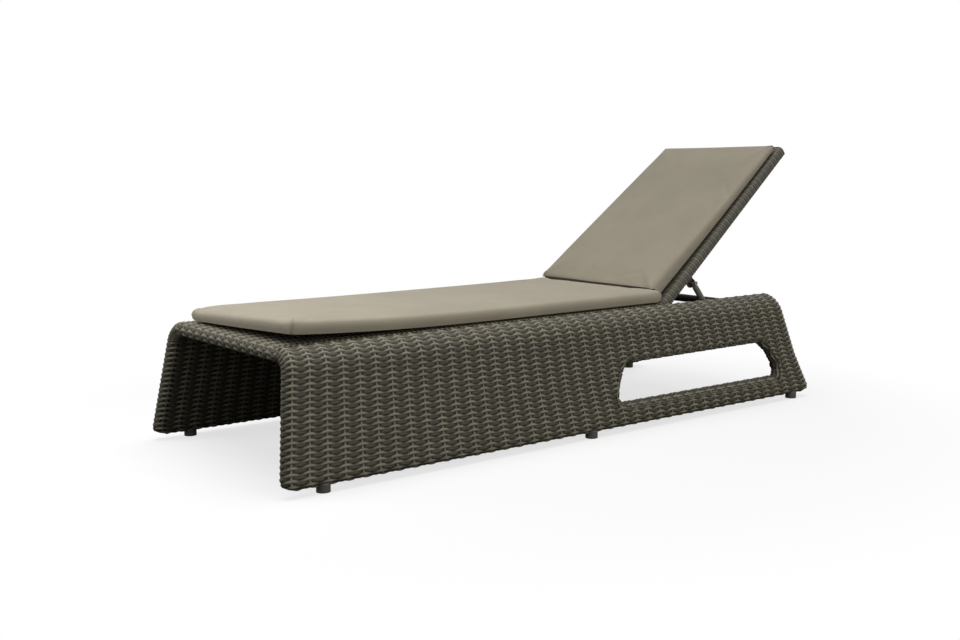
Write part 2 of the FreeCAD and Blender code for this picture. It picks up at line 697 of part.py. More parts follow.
for side, sign in SIDES:
    ends = [vec(x, sign * RAIL_Y, RAIL_Z) for x in (MID_X, ELBOW_X)]
    head_rail = tube("head_rail_run_" + side, ends[0], ends[1], "rail_od", bows["mid"], bows["head", side],
                     hinge_lines[side], *rack_screws[side])
    keep(feature("head_rail_" + side, longest(head_rail.Shape)), "head_rail_" + side)

# The shell's zones: the deck, a shoulder along each side, and each splayed side below it
split_z = ROUND_Z + (ROUND - MID) * sin_deg(SPLAY) - MID
deck_zone = feature("deck_zone", block(vec(FOOT_X - OVER, -ROUND_Y, BOTTOM), vec(DECK_REAR, ROUND_Y, DECK + OVER)))


def zone(name, first, second):
    obj = doc.addObject("Part::Common", name)
    obj.Base = first
    obj.Tool = second
    doc.recompute()
    return obj


keep(zone("deck_weave", shell, deck_zone), "deck_weave")
rest = cut("shell_sides", shell, deck_zone)
for side, sign in SIDES:
    ys = sorted((0, sign * size("base_width")))
    upper = feature("upper_zone_" + side, block(vec(FOOT_X - OVER, ys[0], split_z), vec(far_x, ys[1], DECK + OVER)))
    lower = feature("lower_zone_" + side, block(vec(FOOT_X - OVER, ys[0], 0), vec(far_x, ys[1], split_z)))
    shoulder = cut("shoulder_run_" + side, zone("shoulder_zone_" + side, rest, upper), *rack_screws[side])
    keep(feature("shoulder_weave_" + side, longest(shoulder.Shape)), "shoulder_weave_" + side)
    keep(zone("side_weave_" + side, rest, lower), "side_weave_" + side)


# Loose pads: a sewn cover with a crowned face and drawn-in sides round a foam core
def pad(length, width, edge, crown, inward):
    """A pad on Z = 0, centred on X and Y, made of rounded outlines that rise to its crown."""
    levels = []
    draw = PAD_DRAW_SHARE * edge
    levels.append((draw, 0))
    levels.append((0, edge / 2))
    levels.append((draw, edge))
    for span_share, rise_share in PAD_RISE_SHARES[1:-1]:
        levels.append((draw + span_share * (width / 2 - draw), edge + rise_share * (crown - edge)))
    sections = []
    for shift, z in levels:
        half_x = length / 2 - shift - inward
        half_y = width / 2 - shift - inward
        lift = inward if z == 0 else z - inward * (z > edge / 2)
        corner = min(max(size("pad_corner_radius") - inward, size("pad_cover")), half_y / 2)
        points = [vec(-half_x, -half_y, lift), vec(half_x, -half_y, lift),
                  vec(half_x, half_y, lift), vec(-half_x, half_y, lift)]
        sections.append(rounded_wire(points, [corner] * 4))
    return Part.makeLoft(sections, True, True)


def keep_pad(name, length, width, edge, crown, placement):
    cover = pad(length, width, edge, crown, 0)
    inside = pad(length, width, edge, crown, size("pad_cover"))
    core = pad(length, width, edge, crown, size("pad_cover") + size("pad_lift"))
    keep(feature(name + "_cover", placed(cover.cut(inside), placement)), name + "_cover")
    keep(feature(name + "_foam", placed(core, placement)), name + "_foam")


seat_from = FOOT_X + size("seat_pad_from_foot")
seat_to = DECK_REAR + size("seat_pad_rear_lap")
on_deck = FreeCAD.Placement(vec((seat_from + seat_to) / 2, 0, DECK + size("pad_lift")), FreeCAD.Rotation())
keep_pad("seat_pad", seat_to - seat_from, size("base_width") - 2 * size("seat_pad_margin"),
         size("seat_pad_edge"), size("seat_pad_crown"), on_deck)
back_from = size("back_pad_from_hinge")
back_to = size("back_length") - size("back_pad_top_gap")
on_back = FreeCAD.Placement(vec((back_from + back_to) / 2, 0, MID + size("pad_lift")),
                            FreeCAD.Rotation(vec(0, 0, 1), -size("back_pad_turn_deg")))
keep_pad("back_pad", back_to - back_from, 2 * (BACK_HALF - size("back_pad_margin")),
         size("back_pad_edge"), size("back_pad_crown"), place.multiply(on_back))

doc.recompute()
for obj in parts:
    if "Invalid" in obj.State or "Error" in obj.State:
        raise RuntimeError(obj.Label + " failed to build")
    if obj.Shape.isNull() or not obj.Shape.isValid() or not obj.Shape.Solids:
        raise RuntimeError(obj.Label + " is not a valid solid")
os.makedirs("parts", exist_ok=True)
for obj in parts:
    obj.Shape.exportStep("parts/" + obj.Label + ".step")
    bounds = obj.Shape.optimalBoundingBox(False)
    print("%-24s solids %d volume %.0f x %.1f..%.1f y %.1f..%.1f z %.1f..%.1f" % (
        obj.Label, len(obj.Shape.Solids), obj.Shape.Volume, bounds.XMin, bounds.XMax,
        bounds.YMin, bounds.YMax, bounds.ZMin, bounds.ZMax))
whole = Part.makeCompound([obj.Shape for obj in parts]).BoundBox
print("whole x %.2f..%.2f y %.2f..%.2f z %.2f..%.2f" % (
    whole.XMin, whole.XMax, whole.YMin, whole.YMax, whole.ZMin, whole.ZMax))
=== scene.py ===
"""A woven sun lounger: strand weave over a tube frame, a propped back, and two loose pads."""
import json
import math

import bmesh
import bpy
import numpy as np
from mathutils import Matrix, Vector
from mathutils.bvhtree import BVHTree

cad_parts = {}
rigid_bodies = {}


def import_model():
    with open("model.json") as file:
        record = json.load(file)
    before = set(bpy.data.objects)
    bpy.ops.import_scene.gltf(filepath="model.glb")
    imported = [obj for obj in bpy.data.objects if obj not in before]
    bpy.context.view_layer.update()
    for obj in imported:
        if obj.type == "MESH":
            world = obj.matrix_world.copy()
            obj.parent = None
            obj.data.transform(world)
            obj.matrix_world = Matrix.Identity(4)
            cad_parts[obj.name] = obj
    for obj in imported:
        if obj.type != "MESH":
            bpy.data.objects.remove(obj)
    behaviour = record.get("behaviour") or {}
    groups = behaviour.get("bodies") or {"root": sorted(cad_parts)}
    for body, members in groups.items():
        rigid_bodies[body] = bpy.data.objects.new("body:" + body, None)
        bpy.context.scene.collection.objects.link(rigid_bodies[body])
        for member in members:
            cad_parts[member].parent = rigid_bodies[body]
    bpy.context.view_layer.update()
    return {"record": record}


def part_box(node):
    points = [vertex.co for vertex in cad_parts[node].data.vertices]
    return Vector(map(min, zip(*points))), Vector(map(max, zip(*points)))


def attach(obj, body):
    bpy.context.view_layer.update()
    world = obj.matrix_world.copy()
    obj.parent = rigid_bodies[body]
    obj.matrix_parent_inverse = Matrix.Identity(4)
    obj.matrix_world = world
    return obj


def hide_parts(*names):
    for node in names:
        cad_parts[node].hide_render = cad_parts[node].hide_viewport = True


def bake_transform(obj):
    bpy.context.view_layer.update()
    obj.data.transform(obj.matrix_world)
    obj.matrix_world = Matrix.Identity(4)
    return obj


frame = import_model()

# Woven sides and shoulders: flat synthetic strands, light and dark by turns, woven over and under
# upright stakes. Each row runs round the panel, over its round foot and head edges and back along
# the inside, and the stakes climb over the shoulder to the deck.
TOP_Z = 0.351
BOTTOM_Z = 0.020
HALF_WIDTH = 0.4057
SPLAY = math.radians(10.1)
SHOULDER = 0.066
PANEL = 0.0375
EDGE = PANEL / 2
FOOT_X = -1.0159
HEAD_X = 1.0138
FOOT_LEAN = math.tan(math.radians(8.0))
HEAD_LEAN = math.tan(math.radians(15.7))
FLARE_LEAN = math.tan(math.radians(23.3))
FLARE_Z = BOTTOM_Z + 0.130
LOW_CORNER = 0.024
WELL_Y = 0.2785
SIDE_STAKES = 78
EDGE_STAKES = 2
SIDE_ROWS = 36
ALL_ROWS = 54
STRAND_REACH = 0.0020
STRAND_BODY = 0.0022
STAKE_RISE = 0.0002
STAKE_WIDTH = 0.095
STRAND_SWELL = 0.15
LIGHT_NARROW = 0.07
ROW_WAVE = 0.16
LIGHT_LEAD = 0.18
PER_STAKE = 4
PER_ROW = 4
THIN_END = 0.35
WELD = 0.00002


def weave_height(stakes, rows, bold):
    """Height of a plain weave of broad dark strands and narrower light ones over even stakes."""
    lift = (np.cos(np.pi * stakes) + LIGHT_LEAD) * bold
    half = 0.5 + STRAND_SWELL * lift - LIGHT_NARROW * bold
    off = np.abs(np.mod(rows - ROW_WAVE * lift + 0.5, 2) - 1)
    across = np.where(off < half, off / half, (1 - off) / (1 - half))
    over = np.where(off < half, lift, -lift)
    height = STRAND_REACH * over + STRAND_BODY * (np.sqrt(np.clip(1 - across ** 2, 0, 1)) - 1)
    beside = (stakes - np.rint(stakes)) / STAKE_WIDTH
    stake = STAKE_RISE + STRAND_BODY * (np.sqrt(np.clip(1 - beside ** 2, 0, 1)) - 1)
    cover = (np.abs(beside) < 1) & (stake > height) & (bold > 0.5)
    return np.where(cover, stake, height)


def slopes(places, axis, closed):
    """Direction of a grid of places along one of its two axes."""
    if not closed:
        return np.gradient(places, axis=axis)
    core = np.delete(places, -1, axis=axis)
    step = np.roll(core, -1, axis=axis) - np.roll(core, 1, axis=axis)
    return np.concatenate([step, np.take(step, [0], axis=axis)], axis=axis)


def woven(name, places, stakes, rows, bold=None, closed=(True, False)):
    """A woven skin on a grid of places. Stakes and rows number each grid line in strands."""
    count_a, count_b = places.shape[0] - 1, places.shape[1] - 1
    grid_a, grid_b = np.meshgrid(stakes, rows, indexing="ij")
    bold = np.ones(grid_a.shape) if bold is None else bold
    height = weave_height(grid_a, grid_b, bold)
    out = np.cross(slopes(places, 0, closed[0]), slopes(places, 1, closed[1]))
    length = np.linalg.norm(out, axis=2, keepdims=True)
    out = out / np.maximum(length, 1e-12)
    middle = places.mean(axis=0, keepdims=True) if closed[0] else places.mean(axis=(0, 1), keepdims=True)
    if closed[1] and not closed[0]:
        middle = places.mean(axis=1, keepdims=True)
    if ((places - middle) * out).sum() < 0:
        out = -out
    skin = places + out * height[:, :, None]
    bm = bmesh.new()
    bmesh.ops.create_grid(bm, x_segments=count_a, y_segments=count_b, size=0.5)
    mesh = bpy.data.meshes.new(name)
    bm.to_mesh(mesh)
    bm.free()
    flat = np.empty(len(mesh.vertices) * 3)
    mesh.vertices.foreach_get("co", flat)
    flat = flat.reshape(-1, 3)
    at_a = np.rint((flat[:, 0] + 0.5) * count_a).astype(int)
    at_b = np.rint((flat[:, 1] + 0.5) * count_b).astype(int)
    mesh.vertices.foreach_set("co", skin[at_a, at_b].ravel())
    numbers = np.stack([grid_a, grid_b, bold], axis=2)[at_a, at_b]
    ends = np.empty(len(mesh.loops), int)
    mesh.loops.foreach_get("vertex_index", ends)
    layer = mesh.attributes.new("strand", "FLOAT_VECTOR", "CORNER")
    layer.data.foreach_set("vector", numbers[ends].ravel())
    bm = bmesh.new()
    bm.from_mesh(mesh)
    bmesh.ops.remove_doubles(bm, verts=bm.verts, dist=WELD)
    bmesh.ops.recalc_face_normals(bm, faces=bm.faces)
    bm.to_mesh(mesh)
    bm.free()
    mesh.shade_smooth()
    obj = bpy.data.objects.new(name, mesh)
    bpy.context.scene.collection.objects.link(obj)
    return obj


def low_corner(z):
    """How far a side's rounded lower corner draws its end in at a height."""
    low = np.clip(LOW_CORNER - (z - BOTTOM_Z), 0, LOW_CORNER)
    return LOW_CORNER - np.sqrt(LOW_CORNER ** 2 - low ** 2)


def fill_ends(obj):
    """Closes the open ends of a woven tube or panel."""
    bm = bmesh.new()
    bm.from_mesh(obj.data)
    bmesh.ops.holes_fill(bm, edges=[edge for edge in bm.edges if edge.is_boundary], sides=0)
    bm.to_mesh(obj.data)
    bm.free()


def foot_edge(z):
    """The leaning foot end of a side at a height."""
    return FOOT_X + FOOT_LEAN * (z - BOTTOM_Z) + low_corner(z)


def head_edge(z):
    """The head end of a side at a height, which leans more below the flare."""
    flare = HEAD_X - FLARE_LEAN * (np.minimum(z, FLARE_Z) - BOTTOM_Z)
    lean = HEAD_LEAN * np.maximum(z - FLARE_Z, 0)
    return flare - lean - low_corner(z)


def side_section():
    """Outer and inner points of the side's section, one for each grid line from bottom to well."""
    quarter = EDGE * math.pi / 2
    slant = (SHOULDER * math.sin(SPLAY) + TOP_Z - SHOULDER - BOTTOM_Z) / math.cos(SPLAY)
    centre_y = HALF_WIDTH - (SHOULDER + (TOP_Z - SHOULDER - BOTTOM_Z) * math.sin(SPLAY)) / math.cos(SPLAY)
    centre_z = TOP_Z - SHOULDER
    arc_end = math.acos((WELL_Y + EDGE - centre_y) / SHOULDER)
    arc = SHOULDER * (arc_end - SPLAY)
    total = quarter + slant - EDGE + arc + quarter
    normal = np.array([math.cos(SPLAY), math.sin(SPLAY)])
    rise = np.array([-math.sin(SPLAY), math.cos(SPLAY)])
    corner = np.array([HALF_WIDTH, BOTTOM_Z])
    outer, inner = [], []
    for line in range(ALL_ROWS * PER_ROW + 1):
        way = total * line / (ALL_ROWS * PER_ROW)
        if way < quarter:
            turn = way / EDGE
            middle = corner - normal * EDGE + rise * EDGE * (1 - math.cos(turn))
            half = normal * EDGE * math.sin(turn)
            outer.append(middle + half)
            inner.append(middle - half)
        elif way < quarter + slant - EDGE:
            spot = corner + rise * (EDGE + way - quarter)
            outer.append(spot)
            inner.append(spot - normal * PANEL)
        elif way < total - quarter:
            turn = SPLAY + (way - quarter - slant + EDGE) / SHOULDER
            spoke = np.array([math.cos(turn), math.sin(turn)])
            centre = np.array([centre_y, centre_z])
            outer.append(centre + spoke * SHOULDER)
            inner.append(centre + spoke * (SHOULDER - PANEL))
        else:
            turn = math.pi / 2 + (way - total + quarter) / EDGE
            centre = np.array([WELL_Y + EDGE, TOP_Z - EDGE])
            outer.append(centre + EDGE * np.array([math.cos(turn), math.sin(turn)]))
            inner.append(centre + EDGE * np.array([math.cos(turn), -math.sin(turn)]))
    return np.array(outer), np.array(inner)


outer_line, inner_line = side_section()
run = np.linspace(0, 1, SIDE_STAKES * PER_STAKE + 1)
bend = np.linspace(0, math.pi, EDGE_STAKES * PER_STAKE + 1)


def side_places(sign, first_row, last_row):
    """Grid of places for some rows of one side: out along the outside, home along the inside."""
    lines = slice(first_row * PER_ROW, last_row * PER_ROW + 1)
    out, home = outer_line[lines], inner_line[lines]
    middle, half = (out + home) / 2, (out - home) / 2
    thick = np.linalg.norm(half, axis=1) / EDGE
    columns = []

    def add(section, x):
        columns.append(np.stack([x, sign * section[:, 0], section[:, 1]], axis=1))

    for share in run[:-1]:
        start, end = foot_edge(out[:, 1]) + EDGE, head_edge(out[:, 1]) - EDGE
        add(out, start + share * (end - start))
    for turn in bend[:-1]:
        section = middle + half * math.cos(turn)
        add(section, head_edge(section[:, 1]) - EDGE + EDGE * math.sin(turn) * np.maximum(thick, THIN_END))
    for share in run[:-1]:
        start, end = foot_edge(home[:, 1]) + EDGE, head_edge(home[:, 1]) - EDGE
        add(home, end + share * (start - end))
    for turn in bend:
        section = middle - half * math.cos(turn)
        add(section, foot_edge(section[:, 1]) + EDGE - EDGE * math.sin(turn) * np.maximum(thick, THIN_END))
    return np.array(columns)


# Each corner of the hand slot as x, z and how round it is. Both ends of the slot are bowed.
SLOT_CORNERS = (
    (0.1590, 0.1995, 0.016),
    (0.7746, 0.2015, 0.014),
    (0.8345, 0.1580, 0.130),
    (0.8554, 0.0850, 0.016),
    (0.1075, 0.0850, 0.022),
    (0.1310, 0.1560, 0.200),
)
CORNER_STEPS = 13
SLOT_MARGIN = 0.010


def slot_line():
    """Points round the slot's edge, with its corners rounded."""
    line = []
    for index, (x, z, radius) in enumerate(SLOT_CORNERS):
        corner = np.array([x, z])
        before = np.array(SLOT_CORNERS[index - 1][:2]) - corner
        after = np.array(SLOT_CORNERS[(index + 1) % len(SLOT_CORNERS)][:2]) - corner
        before, after = before / np.linalg.norm(before), after / np.linalg.norm(after)
        angle = math.acos(float(before @ after))
        middle = (before + after) / np.linalg.norm(before + after)
        centre = corner + middle * radius / math.sin(angle / 2)
        start = corner + before * radius / math.tan(angle / 2) - centre
        end = corner + after * radius / math.tan(angle / 2) - centre
        for share in np.linspace(0, 1, CORNER_STEPS):
            mix = start * (1 - share) + end * share
            line.append(centre + mix / np.linalg.norm(mix) * radius)
    return np.array(line + line[:1])


def cut_slot(obj, grow):
    """Takes away the faces that lie in the hand slot, seen from the side and grown by a margin."""
    bm = bmesh.new()
    bm.from_mesh(obj.data)
    bm.faces.ensure_lookup_table()
    spots = np.array([face.calc_center_median()[:] for face in bm.faces])[:, (0, 2)]
    line = slot_line()
    near = np.full(len(spots), 1e9)
    inside = np.zeros(len(spots), bool)
    for start, end in zip(line[:-1], line[1:]):
        way = end - start
        share = np.clip(((spots - start) @ way) / max(way @ way, 1e-12), 0, 1)
        near = np.minimum(near, np.linalg.norm(spots - start - share[:, None] * way, axis=1))
        passed = (spots[:, 1] < start[1]) != (spots[:, 1] < end[1])
        reach = start[0] + way[0] * (spots[:, 1] - start[1]) / (way[1] if way[1] else 1.0)
        inside ^= passed & (spots[:, 0] < reach)
    gone = [bm.faces[index] for index in np.nonzero(inside | (near < grow))[0]]
    bmesh.ops.delete(bm, geom=gone, context="FACES")
    bm.to_mesh(obj.data)
    bm.free()


loop_stakes = np.arange((2 * SIDE_STAKES + 2 * EDGE_STAKES) * PER_STAKE + 1) / PER_STAKE
woven_pieces = []
for side, sign in (("left", -1), ("right", 1)):
    for part, first_row, last_row in (("side", 0, SIDE_ROWS), ("shoulder", SIDE_ROWS, ALL_ROWS)):
        row_lines = np.arange(first_row * PER_ROW, last_row * PER_ROW + 1) / PER_ROW
        places = side_places(sign, first_row, last_row)
        piece = woven(part + "_weave_skin_" + side, places, loop_stakes, row_lines)
        if part == "side":
            cut_slot(piece, SLOT_MARGIN)
        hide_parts(part + "_weave_" + side)
        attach(piece, "base")
        woven_pieces.append(piece)

# Rim of each hand slot: the same strands run along the slot's edge and roll from the outside to
# the inside of the panel.
RIM_ROWS = 10
RIM_REACH = EDGE + 0.003
RIM_STAKE = 0.025
RIM_PROUD = 0.0006


def slot_outline():
    """Points along the slot's rounded edge, evenly spaced, with the direction away from the slot."""
    line = slot_line()
    steps = np.concatenate([[0], np.cumsum(np.linalg.norm(np.diff(line, axis=0), axis=1))])
    stakes = 2 * round(steps[-1] / RIM_STAKE / 2)
    even = np.linspace(0, steps[-1], stakes * PER_STAKE + 1)
    spots = np.stack([np.interp(even, steps, line[:, 0]), np.interp(even, steps, line[:, 1])], axis=1)
    core = spots[:-1]
    way = np.roll(core, -2, axis=0) - np.roll(core, 2, axis=0)
    way = way / np.linalg.norm(way, axis=1, keepdims=True)
    away = np.stack([-way[:, 1], way[:, 0]], axis=1)
    away = np.concatenate([away, away[:1]])
    if ((spots - spots.mean(axis=0)) * away).sum() < 0:
        away = -away
    return spots, away, stakes


for side, sign in (("left", -1), ("right", 1)):
    spots, away, stakes = slot_outline()
    rolls = np.linspace(0, math.pi, RIM_ROWS * PER_ROW + 1)
    places = np.empty((len(spots), len(rolls), 3))
    for number, turn in enumerate(rolls):
        flat = spots + away * RIM_REACH * (1 - math.sin(turn))
        depth = EDGE - (EDGE + RIM_PROUD) * math.cos(turn)
        y = HALF_WIDTH - depth / math.cos(SPLAY) - math.tan(SPLAY) * (flat[:, 1] - BOTTOM_Z)
        places[:, number] = np.stack([flat[:, 0], sign * y, flat[:, 1]], axis=1)
    rim = woven("slot_rim_" + side, places, np.arange(len(spots)) / PER_STAKE,
                np.arange(len(rolls)) / PER_ROW)
    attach(rim, "base")
    woven_pieces.append(rim)

# Deck: a woven sheet between the shoulders that rolls over the foot edge and under. Its stakes run
# along the lounger and its strands across it.
DECK_HALF = 0.2965
DECK_REAR = 0.3847
DECK_STAKES = 26
DECK_ROW = 0.0078
DECK_STEPS = 330
REAR_STEPS = 12
FOOT_STEPS = 33
deck_foot = FOOT_X + FOOT_LEAN * (TOP_Z - BOTTOM_Z)
deck_top = TOP_Z + 0.0004


def deck_line():
    """The deck's section along the lounger, as points round its closed outline."""
    foot, rear = deck_foot + EDGE, DECK_REAR - EDGE
    line = [(foot + share * (rear - foot), deck_top) for share in np.linspace(0, 1, DECK_STEPS)[:-1]]
    for turn in np.linspace(0, math.pi, REAR_STEPS)[:-1]:
        line.append((rear + EDGE * math.sin(turn), deck_top - EDGE + EDGE * math.cos(turn)))
    line += [(rear + share * (foot - rear), deck_top - PANEL) for share in np.linspace(0, 1, DECK_STEPS)[:-1]]
    for turn in np.linspace(0, math.pi, FOOT_STEPS):
        line.append((foot - EDGE * math.sin(turn), deck_top - EDGE - EDGE * math.cos(turn)))
    return np.array(line)


section = deck_line()
steps = np.concatenate([[0], np.cumsum(np.linalg.norm(np.diff(section, axis=0), axis=1))])
deck_rows = 2 * round(steps[-1] / DECK_ROW / 2)
across_y = np.linspace(-DECK_HALF, DECK_HALF, DECK_STAKES * PER_STAKE + 1)
places = np.empty((len(across_y), len(section), 3))
places[:, :, 0] = section[None, :, 0]
places[:, :, 1] = across_y[:, None]
places[:, :, 2] = section[None, :, 1]
deck = woven("deck_weave_skin", places, np.arange(len(across_y)) / PER_STAKE, steps / steps[-1] * deck_rows,
             closed=(False, True))
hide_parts("deck_weave")
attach(deck, "base")
woven_pieces.append(deck)

# Back panel: strands wound across a flat tube frame and over its top and lower end, plain weave on
# both faces and close side by side round the edge tubes, where each turn shows as a band.
BACK_ANGLE = math.radians(40.7)
HINGE = np.array([0.4127, 0.0, 0.33225])
BACK_HALF = 0.2725
BACK_SHIFT = -0.001
BACK_TAIL = -0.016
BACK_CROWN = 0.7715
BACK_FRONT = EDGE - 0.0022
BACK_STAKES = 20
BACK_ROW = 0.0104
BACK_EDGE = 0.014
BACK_HEEL = 0.007
BACK_END = 0.007
BACK_PER_ROW = 5
BACK_FIRST = 0.5
BACK_BAND = 0.030
BAND_BLUR = 0.006
END_SLIT = 0.0006
END_BAND = 0.006
END_BLUR = 0.010


def on_back(along, across, out):
    """Row-frame places of points given up the back, across it and out of its front."""
    x = HINGE[0] + along * math.cos(BACK_ANGLE) - out * math.sin(BACK_ANGLE)
    z = HINGE[2] + along * math.sin(BACK_ANGLE) + out * math.cos(BACK_ANGLE)
    return np.stack(np.broadcast_arrays(x, across, z), axis=-1)


def back_loop():
    """The back's section across it: points, stake numbers, and how far each is from an edge tube."""
    flat_half = BACK_HALF - BACK_EDGE
    points = []
    for share in np.linspace(0, 1, BACK_STAKES * PER_STAKE + 1)[:-1]:
        points.append((-flat_half + share * 2 * flat_half, BACK_FRONT))
    corner = np.linspace(0, math.pi / 2, 7)
    for turn in corner:
        points.append((flat_half + BACK_EDGE * math.sin(turn),
                       BACK_FRONT - BACK_EDGE + BACK_EDGE * math.cos(turn)))
    for turn in corner:
        points.append((BACK_HALF - BACK_HEEL + BACK_HEEL * math.cos(turn),
                       -EDGE + BACK_HEEL - BACK_HEEL * math.sin(turn)))
    for share in np.linspace(0, 1, BACK_STAKES * PER_STAKE + 1)[1:]:
        points.append(((BACK_HALF - BACK_HEEL) * (1 - 2 * share), -EDGE))
    for turn in corner[1:]:
        points.append((-BACK_HALF + BACK_HEEL - BACK_HEEL * math.sin(turn),
                       -EDGE + BACK_HEEL - BACK_HEEL * math.cos(turn)))
    for turn in corner:
        points.append((-flat_half - BACK_EDGE * math.cos(turn),
                       BACK_FRONT - BACK_EDGE + BACK_EDGE * math.sin(turn)))
    points = np.array(points)
    face = np.clip((BACK_HALF - BACK_BAND - np.abs(points[:, 0])) / BAND_BLUR, 0, 1)
    stakes = (points[:, 0] + flat_half) / (2 * flat_half) * BACK_STAKES
    return points, stakes, face


loop, stakes, face = back_loop()
end_run = EDGE - BACK_END - END_SLIT
arc_run = BACK_END * math.pi / 2
whole_run = BACK_CROWN - BACK_TAIL + 2 * (end_run + arc_run - BACK_END)
back_rows = round(whole_run / BACK_ROW)
along_lines = np.linspace(0, back_rows, back_rows * BACK_PER_ROW + 1)
way = whole_run * along_lines / back_rows
near = np.minimum(way, whole_run - way)
turn = np.clip((near - end_run) / BACK_END, 0, math.pi / 2)
draw = np.maximum(end_run - near, 0) + BACK_END * (1 - np.sin(turn))
gain = BACK_END * (1 - np.cos(turn)) + np.maximum(near - end_run - arc_run, 0)
along = np.where(way < whole_run / 2, BACK_TAIL + gain, BACK_CROWN - gain)
places = np.empty((len(loop), len(along), 3))
for number in range(len(along)):
    thin = (EDGE - draw[number]) / EDGE
    across = BACK_SHIFT + loop[:, 0] * (1 - min(draw[number], BACK_END) / BACK_HALF)
    places[:, number] = on_back(np.full(len(loop), along[number]), across, loop[:, 1] * thin)
bold = face[:, None] * np.clip((gain - END_BAND) / END_BLUR, 0, 1)[None, :]
back = woven("back_weave_skin", places, stakes, along_lines + BACK_FIRST, bold=bold, closed=(True, False))
fill_ends(back)
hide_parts("back_weave")
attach(back, "back")
woven_pieces.append(back)


# Strand finish: extruded synthetic strand, taupe and dark grey-brown by turns, each a little
# different in tint, with fine drawn lines along it, and painted shade where strands meet and pass under.
def reckon(tree, operation, *values):
    """A Math node of a material, fed with numbers or with other nodes' outputs."""
    node = tree.nodes.new("ShaderNodeMath")
    node.operation = operation
    for socket, value in zip(node.inputs, values):
        if isinstance(value, (int, float)):
            socket.default_value = value
        else:
            tree.links.new(value, socket)
    return node.outputs[0]


def mixed(tree, kind, factor, first, second, blend="MIX"):
    """A Mix node of a material, for colours or for numbers."""
    node = tree.nodes.new("ShaderNodeMix")
    node.data_type = kind
    node.blend_type = blend
    sockets = [node.inputs[name] for name in ("Factor", "A", "B")] if kind == "FLOAT" else [
        node.inputs["Factor"], *[socket for socket in node.inputs if socket.type == "RGBA"]]
    for socket, value in zip(sockets, (factor, first, second)):
        if hasattr(value, "is_output"):
            tree.links.new(value, socket)
        else:
            socket.default_value = value
    return [socket for socket in node.outputs if socket.enabled][0]


